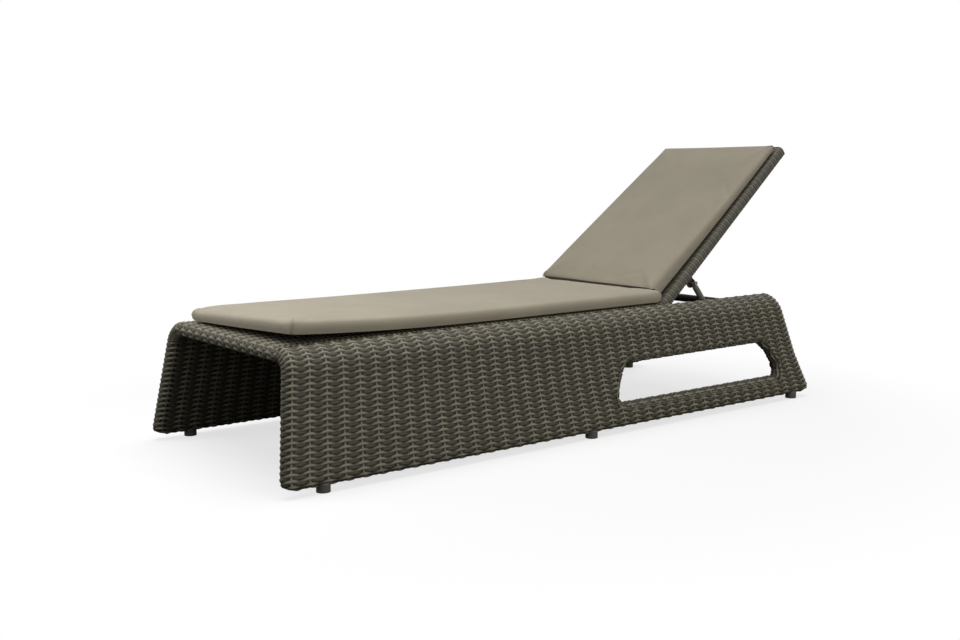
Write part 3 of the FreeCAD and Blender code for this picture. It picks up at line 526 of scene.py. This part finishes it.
def wicker_finish(name, dark, light, stake_colour, shine):
    """Dark and light strands by turns, told apart by the strand numbers that the mesh carries.
    Grooves between strands and strands that pass under get painted shade.
    """
    material = bpy.data.materials.new(name)
    material.use_nodes = True
    tree = material.node_tree
    nodes, links = tree.nodes, tree.links
    shader = nodes["Principled BSDF"]
    strand = nodes.new("ShaderNodeAttribute")
    strand.attribute_name = "strand"
    split = nodes.new("ShaderNodeSeparateXYZ")
    links.new(strand.outputs["Vector"], split.inputs[0])
    stakes, rows, bold = split.outputs
    lift = reckon(tree, "ADD", reckon(tree, "COSINE", reckon(tree, "MULTIPLY", stakes, math.pi)), LIGHT_LEAD)
    half = reckon(tree, "MULTIPLY_ADD", lift, STRAND_SWELL, -LIGHT_NARROW)
    half = reckon(tree, "MULTIPLY_ADD", half, bold, 0.5)
    wave = reckon(tree, "MULTIPLY", reckon(tree, "MULTIPLY", lift, bold), -ROW_WAVE)
    pair = reckon(tree, "ADD", reckon(tree, "ADD", rows, wave), 0.5)
    off = reckon(tree, "ABSOLUTE", reckon(tree, "SUBTRACT", reckon(tree, "FLOORED_MODULO", pair, 2.0), 1.0))
    is_light = reckon(tree, "LESS_THAN", off, half)
    off_dark, half_dark = reckon(tree, "SUBTRACT", 1.0, off), reckon(tree, "SUBTRACT", 1.0, half)
    across = mixed(tree, "FLOAT", is_light, reckon(tree, "DIVIDE", off_dark, half_dark),
                   reckon(tree, "DIVIDE", off, half))
    beside = reckon(tree, "ABSOLUTE", reckon(tree, "SUBTRACT", stakes, reckon(tree, "ROUND", stakes)))
    bare = reckon(tree, "MULTIPLY", reckon(tree, "SUBTRACT", 1.0, is_light),
                  reckon(tree, "GREATER_THAN", lift, 0.2))
    on_stake = reckon(tree, "MULTIPLY", reckon(tree, "LESS_THAN", beside, STAKE_WIDTH), bare)
    on_stake = reckon(tree, "MULTIPLY", on_stake, bold)
    over = mixed(tree, "FLOAT", is_light, reckon(tree, "MULTIPLY", lift, -1.0), lift)
    over = reckon(tree, "MULTIPLY", over, bold)
    # painted shade: each strand is darkened towards its edges, in the grooves where strands meet
    groove_shade = reckon(tree, "MULTIPLY_ADD", reckon(tree, "POWER", across, 3.0), -0.72, 1.0)
    # painted shade: a strand is darkened where it passes under the crossing strand
    under_shade = nodes.new("ShaderNodeMapRange")
    under_shade.inputs["From Min"].default_value = -0.9
    under_shade.inputs["From Max"].default_value = 0.0
    under_shade.inputs["To Min"].default_value = 0.30
    links.new(over, under_shade.inputs["Value"])
    # the painted shade is groove times under-passing shade; stakes take a flat 0.85 instead
    shade = mixed(tree, "FLOAT", on_stake, reckon(tree, "MULTIPLY", groove_shade, under_shade.outputs[0]), 0.85)
    number = reckon(tree, "FLOOR", reckon(tree, "MULTIPLY", pair, 0.5))
    spot = nodes.new("ShaderNodeCombineXYZ")
    links.new(reckon(tree, "MULTIPLY", stakes, 0.13), spot.inputs[0])
    links.new(reckon(tree, "MULTIPLY", number, 3.7), spot.inputs[1])
    links.new(reckon(tree, "MULTIPLY", is_light, 5.3), spot.inputs[2])
    tint = nodes.new("ShaderNodeTexNoise")
    tint.inputs["Scale"].default_value = 1.0
    tint.inputs["Detail"].default_value = 2.0
    links.new(spot.outputs[0], tint.inputs["Vector"])
    ramp = nodes.new("ShaderNodeValToRGB")
    ramp.color_ramp.elements[0].position = 0.3
    ramp.color_ramp.elements[0].color = (0.80, 0.82, 0.78, 1)
    ramp.color_ramp.elements[1].position = 0.7
    ramp.color_ramp.elements[1].color = (1.14, 1.08, 1.02, 1)
    links.new(tint.outputs["Fac"], ramp.inputs["Fac"])
    colour = mixed(tree, "RGBA", is_light, dark + (1,), light + (1,))
    colour = mixed(tree, "RGBA", on_stake, colour, stake_colour + (1,))
    colour = mixed(tree, "RGBA", 1.0, colour, ramp.outputs["Color"], "MULTIPLY")
    colour = mixed(tree, "RGBA", 1.0, colour, shade, "MULTIPLY")
    links.new(colour, shader.inputs["Base Color"])
    lines = nodes.new("ShaderNodeCombineXYZ")
    links.new(reckon(tree, "MULTIPLY", stakes, 0.4), lines.inputs[0])
    links.new(reckon(tree, "MULTIPLY", rows, 9.0), lines.inputs[1])
    drawn = nodes.new("ShaderNodeTexNoise")
    drawn.inputs["Scale"].default_value = 1.0
    drawn.inputs["Detail"].default_value = 1.0
    links.new(lines.outputs[0], drawn.inputs["Vector"])
    bump = nodes.new("ShaderNodeBump")
    bump.inputs["Strength"].default_value = 0.3
    bump.inputs["Distance"].default_value = 0.0008
    links.new(drawn.outputs["Fac"], bump.inputs["Height"])
    links.new(bump.outputs["Normal"], shader.inputs["Normal"])
    shader.inputs["Roughness"].default_value = shine
    shader.inputs["Specular IOR Level"].default_value = 0.22
    return material


wicker = wicker_finish("taupe_wicker", (0.065, 0.058, 0.038), (0.235, 0.221, 0.168), (0.26, 0.247, 0.19), 0.5)
wound = wicker_finish("wound_wicker", (0.135, 0.128, 0.103), (0.175, 0.166, 0.137), (0.20, 0.19, 0.155), 0.48)
for piece in woven_pieces:
    piece.data.materials.append(wound if piece is back else wicker)

# Seat pad: a boxed cushion of plain outdoor cloth over foam, with a sewn seam up each corner. It lies
# loose on the deck, and its near corner at the foot end stands a little off the weave.
PAD_CORNER = 0.013
PAD_GRAIN = 0.008
PAD_LYING = 0.002
PAD_PRESSURE = 4.0
PAD_FRAMES = 20
SEAM_RADIUS = 0.0011
PAD_COLOUR = (0.394, 0.354, 0.271)


def sewn_pad(name, length, width, thick, rolls, most, place):
    """A boxed cushion that lies on its lower face, swollen by cloth pressure and put in its place."""
    bm = bmesh.new()
    bmesh.ops.create_cube(bm, size=1.0)
    bmesh.ops.scale(bm, vec=(length, width, thick), verts=bm.verts)
    upright = [edge for edge in bm.edges if abs(edge.verts[0].co.z - edge.verts[1].co.z) > thick / 2]
    bmesh.ops.bevel(bm, geom=upright, offset=PAD_CORNER, offset_type="OFFSET", affect="EDGES", segments=5,
                    profile=0.5, material=-1)
    for side, bend_radius in zip((1, -1), rolls):
        rim = [edge for edge in bm.edges
               if all(abs(vert.co.z - side * thick / 2) < 1e-5 for vert in edge.verts)]
        bmesh.ops.bevel(bm, geom=rim, offset=bend_radius, offset_type="OFFSET", affect="EDGES", segments=4,
                        profile=0.5, material=-1)
    slab = bpy.data.meshes.new(name + "_slab")
    bm.to_mesh(slab)
    bm.free()
    former = bpy.data.objects.new(name + "_former", slab)
    bpy.context.scene.collection.objects.link(former)
    grain = former.modifiers.new("cloth_grain", "REMESH")
    grain.mode = "VOXEL"
    grain.voxel_size = PAD_GRAIN
    cloth_mesh = bpy.data.meshes.new_from_object(former.evaluated_get(bpy.context.evaluated_depsgraph_get()))
    former.modifiers.clear()
    former.data = cloth_mesh
    start = np.empty(len(cloth_mesh.vertices) * 3)
    cloth_mesh.vertices.foreach_get("co", start)
    start = start.reshape(-1, 3)
    lying = start[:, 2] < PAD_LYING - thick / 2
    shape = start.copy()
    seam = former.vertex_groups.new(name="seam")
    seam.add([int(index) for index in np.nonzero(lying)[0]], 1.0, "REPLACE")
    cloth = former.modifiers.new("cloth", "CLOTH")
    cloth.settings.quality = 5
    cloth.settings.mass = 0.3
    cloth.settings.use_pressure = True
    cloth.settings.uniform_pressure_force = PAD_PRESSURE
    cloth.settings.vertex_group_mass = "seam"
    cloth.settings.effector_weights.gravity = 0.0
    cloth.point_cache.frame_start = 1
    cloth.point_cache.frame_end = PAD_FRAMES
    for number in range(1, PAD_FRAMES + 1):
        bpy.context.scene.frame_set(number)
    swollen = bpy.data.meshes.new_from_object(former.evaluated_get(bpy.context.evaluated_depsgraph_get()))
    swollen.vertices.foreach_get("co", shape.reshape(-1))
    bpy.context.scene.frame_set(1)
    move = shape - start
    far = np.maximum(np.linalg.norm(move, axis=1, keepdims=True), 1e-9)
    shape = start + move * np.minimum(1.0, most / far)
    former.modifiers.clear()
    shape[:, 2] = np.maximum(shape[:, 2], -thick / 2)
    cloth_mesh.vertices.foreach_set("co", shape.ravel())
    cloth_mesh.update()
    bm = bmesh.new()
    bm.from_mesh(cloth_mesh)
    surface = BVHTree.FromBMesh(bm)
    seams = []
    climb = np.linspace(-0.45, 0.62, 12) * thick
    tuck = 0.25 * PAD_CORNER + np.maximum(climb - 0.3 * thick, 0) * 1.6
    for side_x in (-1, 1):
        for side_y in (-1, 1):
            line = np.stack([side_x * (length / 2 - tuck), side_y * (width / 2 - tuck), climb], axis=1)
            seams.append(np.array([surface.find_nearest(Vector(spot))[0][:] for spot in line]))
    bmesh.ops.smooth_vert(bm, verts=bm.verts, factor=0.5, use_axis_x=True, use_axis_y=True, use_axis_z=True)
    bm.verts.ensure_lookup_table()
    smooth = np.array([vert.co[:] for vert in bm.verts])
    for vert, spot in zip(bm.verts, place(smooth)):
        vert.co = spot
    pad_mesh = bpy.data.meshes.new(name)
    bmesh.ops.recalc_face_normals(bm, faces=bm.faces)
    bm.to_mesh(pad_mesh)
    bm.free()
    pad_mesh.shade_smooth()
    bpy.data.objects.remove(former)
    pad = bpy.data.objects.new(name, pad_mesh)
    bpy.context.scene.collection.objects.link(pad)
    finer = pad.modifiers.new("finer", "SUBSURF")
    finer.levels = finer.render_levels = 1
    return pad, [place(seam) for seam in seams]


def welt(name, points, radius):
    """A sewn edge: a thin round line of cloth along some points, as a mesh."""
    curve = bpy.data.curves.new(name, "CURVE")
    curve.dimensions = "3D"
    curve.bevel_depth = radius
    curve.bevel_resolution = 2
    line = curve.splines.new("POLY")
    line.points.add(len(points) - 1)
    for point, spot in zip(line.points, points):
        point.co = (*spot, 1.0)
    curve.use_fill_caps = True
    maker = bpy.data.objects.new(name + "_line", curve)
    bpy.context.scene.collection.objects.link(maker)
    mesh = bpy.data.meshes.new_from_object(maker.evaluated_get(bpy.context.evaluated_depsgraph_get()))
    bpy.data.objects.remove(maker)
    mesh.shade_smooth()
    obj = bpy.data.objects.new(name, mesh)
    bpy.context.scene.collection.objects.link(obj)
    return obj


def cloth_finish(name, colour, tilt):
    """Plain woven outdoor cloth, whose threads run along and across the pad."""
    material = bpy.data.materials.new(name)
    material.use_nodes = True
    tree = material.node_tree
    nodes, links = tree.nodes, tree.links
    shader = nodes["Principled BSDF"]
    place = nodes.new("ShaderNodeTexCoord")
    level = nodes.new("ShaderNodeMapping")
    level.inputs["Rotation"].default_value = (0, tilt, 0)
    links.new(place.outputs["Object"], level.inputs["Vector"])
    threads = []
    for direction in ("X", "Y"):
        thread = nodes.new("ShaderNodeTexWave")
        thread.bands_direction = direction
        thread.inputs["Scale"].default_value = 260.0
        thread.inputs["Distortion"].default_value = 0.6
        thread.inputs["Detail"].default_value = 1.0
        links.new(level.outputs["Vector"], thread.inputs["Vector"])
        threads.append(thread.outputs["Fac"])
    weave = reckon(tree, "MAXIMUM", *threads)
    cloudy = nodes.new("ShaderNodeTexNoise")
    cloudy.inputs["Scale"].default_value = 7.0
    cloudy.inputs["Detail"].default_value = 4.0
    links.new(level.outputs["Vector"], cloudy.inputs["Vector"])
    ramp = nodes.new("ShaderNodeValToRGB")
    ramp.color_ramp.elements[0].position = 0.3
    ramp.color_ramp.elements[0].color = (0.93, 0.93, 0.92, 1)
    ramp.color_ramp.elements[1].position = 0.7
    ramp.color_ramp.elements[1].color = (1.04, 1.03, 1.02, 1)
    links.new(cloudy.outputs["Fac"], ramp.inputs["Fac"])
    fine = nodes.new("ShaderNodeMapRange")
    fine.inputs["To Min"].default_value = 0.84
    links.new(weave, fine.inputs["Value"])
    shade = mixed(tree, "RGBA", 1.0, colour + (1,), ramp.outputs["Color"], "MULTIPLY")
    shade = mixed(tree, "RGBA", 1.0, shade, fine.outputs["Result"], "MULTIPLY")
    links.new(shade, shader.inputs["Base Color"])
    bump = nodes.new("ShaderNodeBump")
    bump.inputs["Strength"].default_value = 0.35
    bump.inputs["Distance"].default_value = 0.0005
    links.new(weave, bump.inputs["Height"])
    links.new(bump.outputs["Normal"], shader.inputs["Normal"])
    shader.inputs["Roughness"].default_value = 0.85
    shader.inputs["Specular IOR Level"].default_value = 0.2
    shader.inputs["Sheen Weight"].default_value = 0.15
    return material


SEAT_LENGTH = 1.332
SEAT_WIDTH = 0.572
SEAT_THICK = 0.0385
SEAT_ROLLS = (0.015, 0.013)
SEAT_SWELL = 0.007
SEAT_MIDDLE_X = -0.2570
SEAT_BED = TOP_Z + 0.0045
CORNER_LIFT = 0.021
FAR_SKEW = 0.014
FAR_DROOP = 0.007


def on_deck(spots):
    """Places of the seat pad's points on the deck, with its near corner at the foot end lifted."""
    foot = np.clip((-spots[:, 0] / (SEAT_LENGTH / 2) + 0.1) / 1.1, 0, 1)
    near = np.clip((-spots[:, 1] / (SEAT_WIDTH / 2) + 1.0) / 2.0, 0, 1)
    lift = CORNER_LIFT * foot ** 2.6 * near ** 1.3
    x = SEAT_MIDDLE_X + spots[:, 0] - FAR_SKEW * foot ** 3 * (1 - near)
    droop = FAR_DROOP * foot ** 14 * (1 - near) ** 2 * (spots[:, 2] / SEAT_THICK + 0.5)
    return np.stack([x, spots[:, 1], SEAT_BED + SEAT_THICK / 2 + spots[:, 2] + lift - droop], axis=1)


seat_cloth = cloth_finish("beige_outdoor_cloth", PAD_COLOUR, 0.0)
seat_pad, seat_seams = sewn_pad("seat_pad", SEAT_LENGTH, SEAT_WIDTH, SEAT_THICK, SEAT_ROLLS, SEAT_SWELL,
                                on_deck)
seat_pieces = [seat_pad]
for number, line in enumerate(seat_seams):
    seat_pieces.append(welt("seat_pad_seam_%d" % number, line, SEAM_RADIUS))
for piece in seat_pieces:
    piece.data.materials.append(seat_cloth)
    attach(piece, "base")
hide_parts("seat_pad_cover", "seat_pad_foam")

# Back pad: a second boxed cushion in the same cloth. It leans loose on the back, a little askew and
# thicker at its foot, and a thin dark cord runs along its lower edge. Its lower lip stays on the seat pad.
BACK_PAD_LENGTH = 0.700
BACK_PAD_WIDTH = 0.520
BACK_PAD_THICK = 0.037
BACK_PAD_ROLLS = (0.014, 0.010)
BACK_PAD_SWELL = 0.0045
LIP_START, LIP_END = on_back(np.array([0.008, 0.042]), np.zeros(2), np.full(2, 0.05))
# Each soft fold as its place along and across the pad, its slant and its depth
PAD_FOLDS = (
    (0.455, -0.228, 0.9, 0.0022),
    (0.385, -0.224, 1.3, 0.0018),
    (0.062, 0.05, 0.2, 0.0014),
    (0.055, -0.12, -0.25, 0.0016),
)
FOLD_WIDTH = 0.007
FOLD_LENGTH = 0.045


def on_back_panel(spots):
    """Places of the back pad's points, given along it, across it and out of it."""
    share = spots[:, 0] / BACK_PAD_LENGTH + 0.5
    side = spots[:, 1] / (BACK_PAD_WIDTH / 2)
    across = 0.0095 - 0.026 * share + spots[:, 1] * (0.998 - 0.058 * share)
    across = across + 0.012 * np.cos(np.pi / 2 * np.clip(share, 0, 1)) * np.maximum(side, 0) + 0.004 * side
    across = across - 0.004 * np.sin(np.pi * np.clip(share, 0, 1)) * np.maximum(-side, 0)
    low, high = 0.012 + 0.004 * side, 0.751 - 0.0045 * side
    under = BACK_FRONT + 0.0030 + 0.003 * (1 - share)
    upper = EDGE + 0.0544 - 0.0302 * share + (0.002 + 0.007 * (1 - share)) * np.maximum(side, 0)
    out = under + (spots[:, 2] / BACK_PAD_THICK + 0.5) * (upper - under)
    for along_spot, across_spot, slant, deep in PAD_FOLDS:
        run = spots[:, 0] + BACK_PAD_LENGTH / 2 - along_spot
        step = spots[:, 1] - across_spot
        over = run * math.cos(slant) - step * math.sin(slant)
        way = run * math.sin(slant) + step * math.cos(slant)
        fold = np.exp(-(over / FOLD_WIDTH) ** 2 - (way / FOLD_LENGTH) ** 2)
        out = out - deep * fold * np.clip(spots[:, 2] / (BACK_PAD_THICK / 2), 0, 1)
    places = on_back(low + (high - low) * share, across, out)
    bed = np.interp(places[:, 0], (0.402, 0.416), (SEAT_BED + SEAT_THICK + 0.004, SEAT_BED - 0.02))
    places[:, 2] = np.maximum(places[:, 2], bed)
    return places


back_cloth = cloth_finish("beige_outdoor_cloth_back", PAD_COLOUR, BACK_ANGLE)
back_pad, back_seams = sewn_pad("back_pad", BACK_PAD_LENGTH, BACK_PAD_WIDTH, BACK_PAD_THICK,
                                BACK_PAD_ROLLS, BACK_PAD_SWELL, on_back_panel)
back_pieces = [back_pad]
for number, line in enumerate(back_seams):
    back_pieces.append(welt("back_pad_seam_%d" % number, line, SEAM_RADIUS))
for piece in back_pieces:
    piece.data.materials.append(back_cloth)
    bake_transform(piece)
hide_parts("back_pad_cover", "back_pad_foam")

# Dark line of the back pad: a thin dark cord along the pad's lower edge.
DARK_LINE_STEPS = 40
DARK_LINE_RADIUS = 0.0017
dark_line_across = np.linspace(-0.235, 0.245, DARK_LINE_STEPS)
dark_line_path = np.stack([np.full(DARK_LINE_STEPS, -BACK_PAD_LENGTH / 2), dark_line_across, np.full(DARK_LINE_STEPS, 0.006)], axis=1)
surface = BVHTree.FromObject(back_pad, bpy.context.evaluated_depsgraph_get())
dark_line_spots = [surface.find_nearest(Vector(spot))[0][:] for spot in on_back_panel(dark_line_path)]
dark_line_cord = welt("back_pad_dark_line", dark_line_spots, DARK_LINE_RADIUS)
dark_line_cord.data.materials.append(cloth_finish("dark_line_cloth", (0.07, 0.062, 0.048), BACK_ANGLE))
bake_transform(dark_line_cord)


# Wrapped bars: the head cross tube's sleeve and the prop's arms are tubes with one strand wound
# closely round them. The cross tube's dark strand is taken near-black as painted shade, and the arms'
# grey-brown strand is lightened as painted light, both for the shade under the raised back.
def wrapped_bar(name, start, end, radius, turn_width):
    """A bar wound with a flat strand, from one point to another."""
    start, end = np.array(start), np.array(end)
    axis = (end - start) / np.linalg.norm(end - start)
    side = np.cross(axis, (0.3, 0.5, 0.8))
    side = side / np.linalg.norm(side)
    other = np.cross(axis, side)
    turns = 2 * max(round(np.linalg.norm(end - start) / turn_width / 2), 1)
    lines = np.linspace(0, 1, turns * 6 + 1)
    angles = np.linspace(0, 2 * math.pi, 21)
    spokes = np.cos(angles)[:, None] * side + np.sin(angles)[:, None] * other
    places = start + lines[None, :, None] * (end - start) + radius * spokes[:, None, :]
    bar = woven(name, places, np.linspace(0, 2, len(angles)), lines * turns, bold=np.zeros(places.shape[:2]))
    fill_ends(bar)
    return bar


SLEEVE_TURN = 0.0085
ARM_TURN = 0.0065
ARM_RADIUS = 0.0102
ARM_Y = 0.253
sleeve_low, sleeve_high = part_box("head_tube_sleeve")
sleeve_x, sleeve_z = (sleeve_low[0] + sleeve_high[0]) / 2, (sleeve_low[2] + sleeve_high[2]) / 2
sleeve = wrapped_bar("head_tube_wrap", (sleeve_x, sleeve_low[1], sleeve_z),
                     (sleeve_x, sleeve_high[1], sleeve_z), (sleeve_high[2] - sleeve_low[2]) / 2, SLEEVE_TURN)
# painted shade: the cross tube's dark strand is taken near-black for the shade it lies in under the raised
# back
dark_wrap_painted_shade = wicker_finish("dark_wrap_painted_shade", (0.017, 0.016, 0.016), (0.022, 0.021, 0.02), (0.02, 0.02, 0.02), 0.4)
sleeve.data.materials.append(dark_wrap_painted_shade)
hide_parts("head_tube_sleeve")
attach(sleeve, "base")
# painted light: the arms' grey-brown is lightened to make up for the shade they sit in under the back
arm_wrap = wicker_finish("arm_wrap", (0.19, 0.18, 0.148), (0.25, 0.237, 0.197), (0.25, 0.237, 0.197), 0.48)
for side, sign in (("left", -1), ("right", 1)):
    arm = wrapped_bar("stay_arm_wrap_" + side, (0.5857, sign * ARM_Y, 0.3894),
                      (0.6991, sign * ARM_Y, 0.2494), ARM_RADIUS, ARM_TURN)
    arm.data.materials.append(arm_wrap)
    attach(arm, "stay")


# Hardware and frame: mill-finish aluminium tubes, powder-coated prop, racks and lugs, stainless pins
# and screws, and moulded feet, bushes and washers.
def hardware_finish(name, colour, metal, rough, grain, depth):
    """Paint, metal or moulded plastic with a fine uneven surface."""
    material = bpy.data.materials.new(name)
    material.use_nodes = True
    tree = material.node_tree
    nodes, links = tree.nodes, tree.links
    shader = nodes["Principled BSDF"]
    place = nodes.new("ShaderNodeTexCoord")
    noise = nodes.new("ShaderNodeTexNoise")
    noise.inputs["Scale"].default_value = grain
    noise.inputs["Detail"].default_value = 3.0
    links.new(place.outputs["Object"], noise.inputs["Vector"])
    ramp = nodes.new("ShaderNodeValToRGB")
    ramp.color_ramp.elements[0].position = 0.3
    ramp.color_ramp.elements[0].color = (*[0.8 * part for part in colour], 1)
    ramp.color_ramp.elements[1].position = 0.7
    ramp.color_ramp.elements[1].color = (*[1.15 * part for part in colour], 1)
    links.new(noise.outputs["Fac"], ramp.inputs["Fac"])
    links.new(ramp.outputs["Color"], shader.inputs["Base Color"])
    spread = nodes.new("ShaderNodeMapRange")
    spread.inputs["To Min"].default_value = rough - 0.08
    spread.inputs["To Max"].default_value = rough + 0.08
    links.new(noise.outputs["Fac"], spread.inputs["Value"])
    links.new(spread.outputs["Result"], shader.inputs["Roughness"])
    bump = nodes.new("ShaderNodeBump")
    bump.inputs["Strength"].default_value = 0.3
    bump.inputs["Distance"].default_value = depth
    links.new(noise.outputs["Fac"], bump.inputs["Height"])
    links.new(bump.outputs["Normal"], shader.inputs["Normal"])
    shader.inputs["Metallic"].default_value = metal
    return material


finishes = {
    "frame_tube": hardware_finish("mill_aluminium", (0.55, 0.54, 0.52), 1.0, 0.42, 140.0, 0.0003),
    "stay_paint": hardware_finish("taupe_powder_coat", (0.19, 0.18, 0.152), 0.0, 0.5, 900.0, 0.0003),
    "plate_paint": hardware_finish("dark_powder_coat", (0.06, 0.056, 0.048), 0.0, 0.48, 900.0, 0.0003),
    "steel": hardware_finish("stainless_steel", (0.5, 0.5, 0.49), 1.0, 0.32, 300.0, 0.0002),
    "bush_plastic": hardware_finish("black_nylon", (0.02, 0.02, 0.02), 0.0, 0.5, 400.0, 0.0003),
    "foot_plastic": hardware_finish("dark_moulded_feet", (0.085, 0.079, 0.064), 0.0, 0.55, 260.0, 0.0006),
}
for row in frame["record"]["subparts"]:
    if row["material_slot"] in finishes:
        shown_part = bpy.data.objects[row["node"]]
        if not shown_part.data.materials:
            shown_part.data.materials.append(finishes[row["material_slot"]])
        for place in shown_part.material_slots:
            place.material = finishes[row["material_slot"]]

# Floor and studio: a pale floor in a white room, under a large soft lamp, with a small lamp over the
# foot end and two weak fills.
bpy.ops.mesh.primitive_plane_add(size=60, location=(0, 0, 0))
floor = bpy.context.object
floor.name = "floor"
floor_paint = bpy.data.materials.new("floor_paint")
floor_paint.use_nodes = True
nodes, links = floor_paint.node_tree.nodes, floor_paint.node_tree.links
path = nodes.new("ShaderNodeLightPath")
seen = nodes.new("ShaderNodeMix")
seen.data_type = "RGBA"
seen.inputs["A"].default_value = (0.12, 0.12, 0.12, 1)
seen.inputs["B"].default_value = (0.95, 0.95, 0.95, 1)
links.new(path.outputs["Is Camera Ray"], seen.inputs["Factor"])
links.new(seen.outputs["Result"], nodes["Principled BSDF"].inputs["Base Color"])
place = nodes.new("ShaderNodeTexCoord")
far = nodes.new("ShaderNodeVectorMath")
far.operation = "LENGTH"
links.new(place.outputs["Object"], far.inputs[0])
fade = nodes.new("ShaderNodeMapRange")
fade.interpolation_type = "SMOOTHSTEP"
fade.inputs["From Min"].default_value = 0.9
fade.inputs["From Max"].default_value = 1.7
links.new(far.outputs["Value"], fade.inputs["Value"])
faint = nodes.new("ShaderNodeMapRange")
faint.inputs["To Min"].default_value = 0.70
links.new(fade.outputs["Result"], faint.inputs["Value"])
glow = nodes.new("ShaderNodeEmission")
shown = nodes.new("ShaderNodeMath")
shown.operation = "MULTIPLY"
links.new(faint.outputs["Result"], shown.inputs[0])
links.new(path.outputs["Is Camera Ray"], shown.inputs[1])
blend = nodes.new("ShaderNodeMixShader")
links.new(shown.outputs[0], blend.inputs[0])
links.new(nodes["Principled BSDF"].outputs[0], blend.inputs[1])
links.new(glow.outputs[0], blend.inputs[2])
links.new(blend.outputs[0], nodes["Material Output"].inputs["Surface"])
nodes["Principled BSDF"].inputs["Roughness"].default_value = 1.0
nodes["Principled BSDF"].inputs["Specular IOR Level"].default_value = 0.0
floor.data.materials.append(floor_paint)

world = bpy.data.worlds.new("room")
bpy.context.scene.world = world
world.use_nodes = True
nodes, links = world.node_tree.nodes, world.node_tree.links
path = nodes.new("ShaderNodeLightPath")
shine = nodes.new("ShaderNodeMath")
shine.operation = "MAXIMUM"
links.new(path.outputs["Is Camera Ray"], shine.inputs[0])
links.new(path.outputs["Is Glossy Ray"], shine.inputs[1])
level = nodes.new("ShaderNodeMapRange")
level.inputs["To Min"].default_value = 0.22
level.inputs["To Max"].default_value = 1.0
links.new(shine.outputs[0], level.inputs["Value"])
nodes["Background"].inputs["Color"].default_value = (1, 1, 1, 1)
links.new(level.outputs["Result"], nodes["Background"].inputs["Strength"])

for name, spot, aim, size, power in (
    ("ceiling_lamp", (2.4, -0.2, 7.7), (0.0, 0.0, 0.3), 5.5, 320.0),
    ("foot_lamp", (-1.3, 0.1, 2.0), (-1.3, 0.1, 0.0), 1.0, 17.5),
    ("side_fill", (0.4, -4.2, 1.1), (0.0, 0.0, 0.3), 2.0, 47.0),
    ("foot_fill", (-2.3, 0.9, 0.8), (-1.0, 0.0, 0.3), 0.8, 8.0),
):
    lamp = bpy.data.lights.new(name, "AREA")
    lamp.size = size
    lamp.energy = power
    holder = bpy.data.objects.new(name, lamp)
    holder.location = spot
    bpy.context.scene.collection.objects.link(holder)
    holder.rotation_euler = (Vector(aim) - Vector(spot)).to_track_quat("-Z", "Y").to_euler()

# Camera at the photograph's angle
camera = bpy.data.cameras.new("camera")
camera.sensor_width = 36.0
camera.lens = 43.886
view = bpy.data.objects.new("camera", camera)
bpy.context.scene.collection.objects.link(view)
yaw, pitch, roll = math.radians(52.09), math.radians(7.703), math.radians(-0.267)
ahead = Vector((math.cos(yaw) * math.cos(pitch), math.sin(yaw) * math.cos(pitch), -math.sin(pitch)))
right = Vector((math.sin(yaw), -math.cos(yaw), 0.0))
up = right.cross(ahead)
right, up = right * math.cos(roll) + up * math.sin(roll), up * math.cos(roll) - right * math.sin(roll)
view.matrix_world = Matrix.Translation((-2.3050, -2.8196, 0.7988)) @ Matrix((
    (right.x, up.x, -ahead.x, 0), (right.y, up.y, -ahead.y, 0), (right.z, up.z, -ahead.z, 0), (0, 0, 0, 1)))
bpy.context.scene.camera = view
bpy.context.scene.view_settings.view_transform = "Standard"
